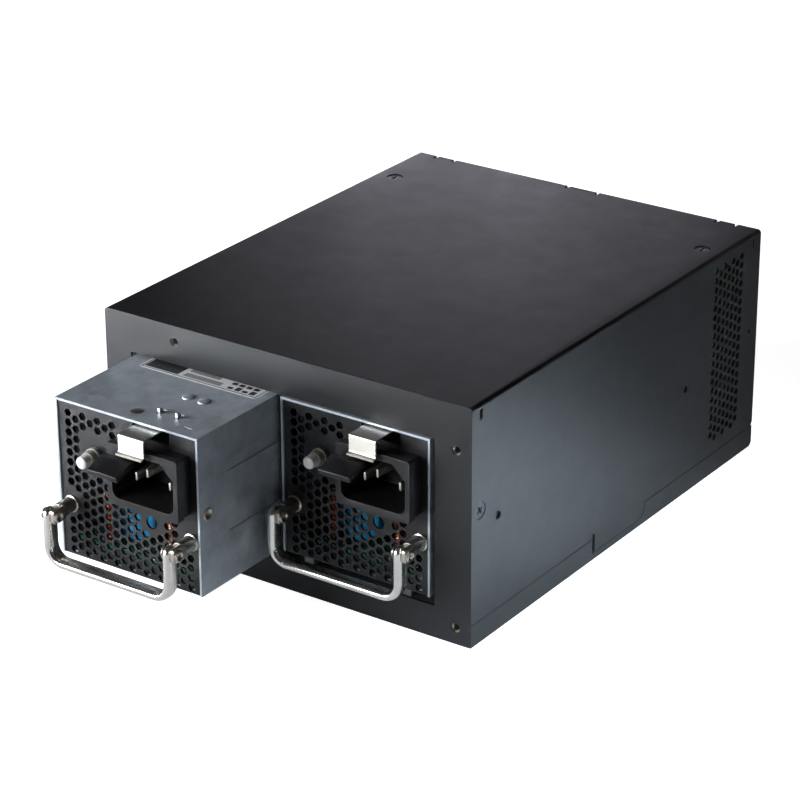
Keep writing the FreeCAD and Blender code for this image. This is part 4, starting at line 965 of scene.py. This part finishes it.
class MakeBoards(bpy.types.Operator):
    """Circuit boards and everything that stands on them"""

    bl_idname = "power_supply.boards"
    bl_label = "Circuit boards"

    def execute(self, context):
        for side in SIDES:
            self.main_board(side)
            chokes = bmesh.new()
            for x, height in ((17.0, 20.6), (44.0, 17.6)):
                add(chokes, wound_choke(height, sizes().wire_turns), shift(x, 6.0, BOARD_TOP))
            fit(side, "rod_chokes", chokes, "module", ["copper", "ferrite"], "chokes")
            fit(side, "bulk_capacitor", capacitor_shape(), "module", ["blue_sleeve", "component_black"],
                "capacitor", place=shift(23.6, 9.5, 29.8) @ BACKWARD)
            self.transformer(side)
            dress(side + "_heatsink", 0.15)
        self.converter()
        return {"FINISHED"}

    def main_board(self, side):
        board = bmesh.new()
        sheet = (BOARD_BOTTOM, BOARD_TOP)
        add(board, block((3.0, 56.6), (3.0, 147.0), sheet, 0.15))
        add(board, block((13.8, 45.8), (146.5, 156.0), sheet, 0.3))
        for i in range(15):
            start = 14.9 + 2.0 * i
            add(board, inked(block((start, start + 1.4), (149.2, 155.6), (20.75, 20.86), 0.03), 3))
        spots = [(6.0 + 4.4 * i, 3.6 + 1.3 * (i % 2), 2.0, 1.25, 0.9 + 0.35 * (i % 3)) for i in range(11)]
        spots += [(36.0, 12.0, 4.0, 5.0, 1.6), (48.0, 12.0, 5.0, 6.0, 2.2), (40.0, 24.0, 8.0, 10.0, 8.0)]
        spots += [(6.0, 14.0, 6.0, 8.0, 9.0), (34.0, 102.0, 12.0, 16.0, 12.0), (40.0, 46.0, 10.0, 12.0, 6.0)]
        chip_row(board, spots)
        for x, y, radius, high in ((10.0, 28.0, 3.5, 11.0), (52.0, 30.0, 3.0, 9.0), (51.0, 104.0, 4.0, 14.0),
                                   (51.0, 114.0, 4.0, 14.0)):
            small = turned([(0, 0), (radius, 0), (radius, 0.6), (radius - 0.2, 1.0), (radius, 1.4),
                            (radius, high - 0.4), (radius - 0.4, high), (0, high)], 24)
            add(board, inked(small, 1), shift(x, y, BOARD_TOP))
        fit(side, "power_board", board, "module", ["circuit_board", "component_black", "tinned_lead", "nickel"],
            "main_board")

    def transformer(self, side):
        wound = bmesh.new()
        for level in (BOARD_TOP, 39.8):
            add(wound, block((16.0, 50.0), (66.0, 96.0), (level, level + 10.0), 0.5))
        coil = flat_bar((19.9, 46.1), (68.9, 93.1), 9.2, 3.0)
        add(wound, inked(coil, 1), shift(z=30.7))
        add(wound, inked(block((28.0, 38.0), (65.93, 96.07), (20.75, 49.87), 0.3), 1))
        fit(side, "main_transformer", wound, "module", ["ferrite", "tape"], "transformer")

    def converter(self):
        low, high = (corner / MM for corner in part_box("converter_board"))
        dress("converter_board", 0.12)
        parts = bmesh.new()
        packages = ((160.0, 22.0, 5.0, 4.0), (170.0, 30.0, 6.5, 4.5), (162.0, 40.0, 4.0, 2.5),
                    (174.0, 46.0, 5.0, 3.0), (164.0, 56.0, 6.5, 4.5), (173.0, 66.0, 4.5, 3.0))
        for along, z, size, rise in packages:
            y = CAGE_FRONT + along
            add(parts, block((high.x, high.x + rise), (y, y + size), (z, z + size), 0.35))
            for i in range(3):
                level = z + size * (0.2 + 0.3 * i)
                for end in (y - 0.7, y + size):
                    lead = block((high.x, high.x + 0.5), (end, end + 0.7), (level - 0.25, level + 0.25), 0.05)
                    add(parts, inked(lead, 1))
        for i in range(26):
            y = low.y + 2.0 + (i * 7.3) % (high.y - low.y - 5.0)
            z = low.z + 3.0 + (i * 11.9) % (high.z - low.z - 6.0)
            pad = block((high.x - 0.02, high.x + 0.5), (y, y + 1.1), (z, z + 0.6), 0.06)
            add(parts, inked(pad, 1 if i % 3 else 0))
        hand_over("converter_packages", parts, "cage", ["component_black", "tinned_lead"], ["converter_parts"])


# ---------------------------------------------------------------- fan

FAN_Y = 133.4
FAN_Z = 46.0
HUB_RADIUS = 8.2
BLADE_REACH = 9.1
BLADE_CHORD = 9.2
BLADE_SHEET = 0.9
BLADE_CAMBER = 1.1


def fan_rotor_shape(blades):
    """Hub with a rolled rim and swept, pitched blades."""
    rotor = bmesh.new()
    add(rotor, turned([(0, 0), (7.6, 0), (8.7, 0.4), (9.0, 1.2), (9.0, 12.0), (8.4, 12.0), (8.4, 10.8),
                       (1.5, 10.8), (1.5, 15.8), (0, 15.8)]))
    for i in range(blades):
        blade = bmesh.new()
        bmesh.ops.create_grid(blade, x_segments=6, y_segments=6, size=0.5)
        for vert in blade.verts:
            reach = vert.co.x + 0.5
            chord = vert.co.y
            radius = HUB_RADIUS + BLADE_REACH * reach
            pitch = math.radians(52 - 20 * reach)
            sweep = 0.35 * reach
            across = BLADE_CHORD * chord * (1.0 + 0.25 * reach)
            camber = BLADE_CAMBER * (0.25 - chord * chord) * 4
            angle = sweep + (across * math.cos(pitch) + camber * math.sin(pitch)) / radius
            vert.co = (radius * math.cos(angle), radius * math.sin(angle),
                       6.0 + across * math.sin(pitch) - camber * math.cos(pitch))
        bmesh.ops.recalc_face_normals(blade, faces=blade.faces)
        bmesh.ops.solidify(blade, geom=blade.faces[:], thickness=BLADE_SHEET)
        bmesh.ops.recalc_face_normals(blade, faces=blade.faces)
        add(rotor, blade, Matrix.Rotation(i * math.tau / blades, 4, "Z"))
    return rotor


class MakeFans(bpy.types.Operator):
    """Module fans"""

    bl_idname = "power_supply.fans"
    bl_label = "Fans"

    def execute(self, context):
        for side in SIDES:
            dress(side + "_fan_frame", 0.3)
            fit(side, "fan_wheel", fan_rotor_shape(sizes().fan_blades), "fan", ["black_plastic"],
                "fan_rotor", 0.15, shift(SHELL_MIDDLE, FAN_Y, FAN_Z) @ BACKWARD)
        return {"FINISHED"}


# ---------------------------------------------------------------- stage

def plain_ground(name, colour):
    """Matt surface of the floor: white to the camera, and lifted a little in metal and glass."""
    ground = Finish(name, roughness=0.9)
    ground.colour(ground.mottle(shade(colour, 0.985), colour, 240))
    ground.uneven(0.85, 0.95, 60)
    ground.relief(ground.noise(3, 2), 0.02, 0.05)
    path = ground.add("ShaderNodeLightPath").outputs
    mirrored = ground.larger(path["Is Glossy Ray"], path["Is Transmission Ray"])
    seen = ground.larger(ground.times(path["Is Camera Ray"], 0.9), ground.times(mirrored, 0.037))
    ground.surface.inputs["Emission Color"].default_value = (1, 1, 1, 1)
    ground.feed(ground.surface.inputs["Emission Strength"], seen)
    return ground.material


def soft_box(name, place, target, size, power, colour):
    """Rectangular studio light that points at a target, in metres."""
    light = bpy.data.lights.new(name, "AREA")
    light.shape = "RECTANGLE"
    light.size, light.size_y = size
    light.energy = power
    light.color = colour
    lamp = bpy.data.objects.new(name, light)
    bpy.context.scene.collection.objects.link(lamp)
    lamp.location = place
    lamp.visible_camera = False
    lamp.rotation_euler = (Vector(target) - Vector(place)).to_track_quat("-Z", "Y").to_euler()
    return lamp


def floor_spot(name, centre, reach, power, spread, colour):
    """Lamp that shines on a spot of the floor in a narrow cone, from a way to the right and a height."""
    x, y = centre
    lamp = soft_box(name, (x + reach[0], y, reach[1]), (x, y + 1e-4, 0.0), (0.08, 0.08), power, colour)
    lamp.data.spread = math.radians(spread)
    return lamp


class MakeStage(bpy.types.Operator):
    """Floor, soft studio light and camera"""

    bl_idname = "power_supply.stage"
    bl_label = "Stage"

    def execute(self, context):
        self.floor()
        self.world()
        self.lights()
        self.camera()
        context.scene.view_settings.view_transform = "Standard"
        return {"FINISHED"}

    def floor(self):
        ground = bmesh.new()
        bmesh.ops.create_grid(ground, x_segments=1, y_segments=1, size=4.0)
        bmesh.ops.translate(ground, verts=ground.verts, vec=(0, 0, -0.0004))
        mesh = bpy.data.meshes.new("floor")
        ground.to_mesh(mesh)
        ground.free()
        mesh.materials.append(plain_ground("floor", (0.82, 0.82, 0.82)))
        floor = bpy.data.objects.new("floor", mesh)
        bpy.context.scene.collection.objects.link(floor)

    def world(self):
        """Dim surround that the camera sees white."""
        world = bpy.data.worlds.new("studio")
        bpy.context.scene.world = world
        nodes = Nodes(world)
        way = nodes.add("ShaderNodeTexCoord").outputs["Generated"]
        height = nodes.add("ShaderNodeSeparateXYZ", Vector=way).outputs[2]
        dim = nodes.between(height, 0.0, 1.0, 0.038, 0.032)
        camera = nodes.add("ShaderNodeLightPath").outputs["Is Camera Ray"]
        background = nodes.add("ShaderNodeBackground", Color=(0.985, 0.992, 1.0),
                               Strength=nodes.larger(dim, camera))
        nodes.add("ShaderNodeOutputWorld", Surface=background.outputs[0])

    def lights(self):
        """Soft boxes, and spots that fall on the floor beside the object, which shows them in its coat."""
        white, violet, blue = (0.92, 0.95, 1.0), (0.89, 0.87, 1.0), (0.72, 0.87, 1.0)
        roof, front = (-0.04, 0.05, 0.086), (-0.02, -0.10, 0.05)
        soft_box("rear_light", (-0.18, 0.42, 0.16), (-0.02, 0.0, 0.086), (0.12, 0.08), 0.094, violet)
        soft_box("rear_near_light", (-0.20, 0.30, 0.13), roof, (0.10, 0.05), 0.079, violet)
        soft_box("rear_left_light", (-0.26, 0.26, 0.13), roof, (0.10, 0.05), 0.041, violet)
        soft_box("front_light", (-0.471, -0.826, 0.298), front, (0.50, 0.35), 6.6, white)
        soft_box("left_light", (-0.709, -0.596, 0.298), front, (0.30, 0.30), 6.6, white)
        for name, centre in (("near", (-0.37, -0.41)), ("left", (-0.58, -0.36)), ("front", (-0.40, -0.64))):
            floor_spot("front_left_spot_" + name, centre, (0.0, 0.60), 9.4, 32, white)
        soft_box("bend_light", (0.45, 0.66, 0.60), (0.07, 0.0, 0.08), (0.25, 0.25), 0.010, violet)
        vent_light = soft_box("vent_light", (0.55, 0.02, 0.25), (0.07, 0.075, 0.045), (0.08, 0.08), 0.03, white)
        vent_light.data.spread = math.radians(14)
        for name, centre, way, power in (
                ("right_near_spot", (0.14, -0.08), 0.46, 0.085), ("right_rear_spot", (0.14, 0.0), 0.46, 0.10),
                ("right_spot", (0.22, -0.10), 0.38, 0.50), ("right_far_spot", (0.22, 0.0), 0.38, 0.95)):
            floor_spot(name, centre, (way, 0.45), power, 12, blue)

    def camera(self):
        azimuth, elevation, roll = (math.radians(angle) for angle in (34.728, 24.257, -0.21))
        middle, distance, aside, below = Vector((0, 0, 0.043)), 1.072195, 0.01522, 0.007488
        back = Vector((math.sin(azimuth) * math.cos(elevation), -math.cos(azimuth) * math.cos(elevation),
                       math.sin(elevation)))
        across = Vector((math.cos(azimuth), math.sin(azimuth), 0))
        up = back.cross(across)
        right = across * math.cos(roll) + up * math.sin(roll)
        upright = up * math.cos(roll) - across * math.sin(roll)
        place = middle + back * distance - right * aside - upright * below
        data = bpy.data.cameras.new("camera")
        data.sensor_width = 36.0
        data.lens = 135.12
        data.clip_start = 0.05
        camera = bpy.data.objects.new("camera", data)
        bpy.context.scene.collection.objects.link(camera)
        turn = Matrix((right, upright, back)).transposed().to_4x4()
        camera.matrix_world = Matrix.Translation(place) @ turn
        bpy.context.scene.camera = camera


OPERATORS = (DressCage, DressModules, MakeLabels, MakeBailHandles, MakeLatches, MakeInlets, MakeResetButtons,
             MakeBoards, MakeFans, MakeStage)


class PowerSupplyPanel(bpy.types.Panel):
    """Lists the pieces of the power supply"""

    bl_idname = "VIEW3D_PT_power_supply"
    bl_label = "Power supply"
    bl_space_type = "VIEW_3D"
    bl_region_type = "UI"
    bl_category = "Power supply"

    def draw(self, context):
        for group in (context.scene.power_supply_sizes, context.scene.power_supply_colours):
            for name in group.__annotations__:
                self.layout.prop(group, name)
        for operator in OPERATORS:
            self.layout.operator(operator.bl_idname)


CLASSES = (PowerSupplySizes, PowerSupplyColours, *OPERATORS, PowerSupplyPanel)


def register():
    for each in CLASSES:
        bpy.utils.register_class(each)
    bpy.types.Scene.power_supply_sizes = bpy.props.PointerProperty(type=PowerSupplySizes)
    bpy.types.Scene.power_supply_colours = bpy.props.PointerProperty(type=PowerSupplyColours)


def unregister():
    del bpy.types.Scene.power_supply_colours
    del bpy.types.Scene.power_supply_sizes
    for each in reversed(CLASSES):
        bpy.utils.unregister_class(each)


def main():
    """Makes every piece."""
    register()
    for operator in OPERATORS:
        group, name = operator.bl_idname.split(".")
        getattr(getattr(bpy.ops, group), name)()


if __name__ == "__main__":
    main()
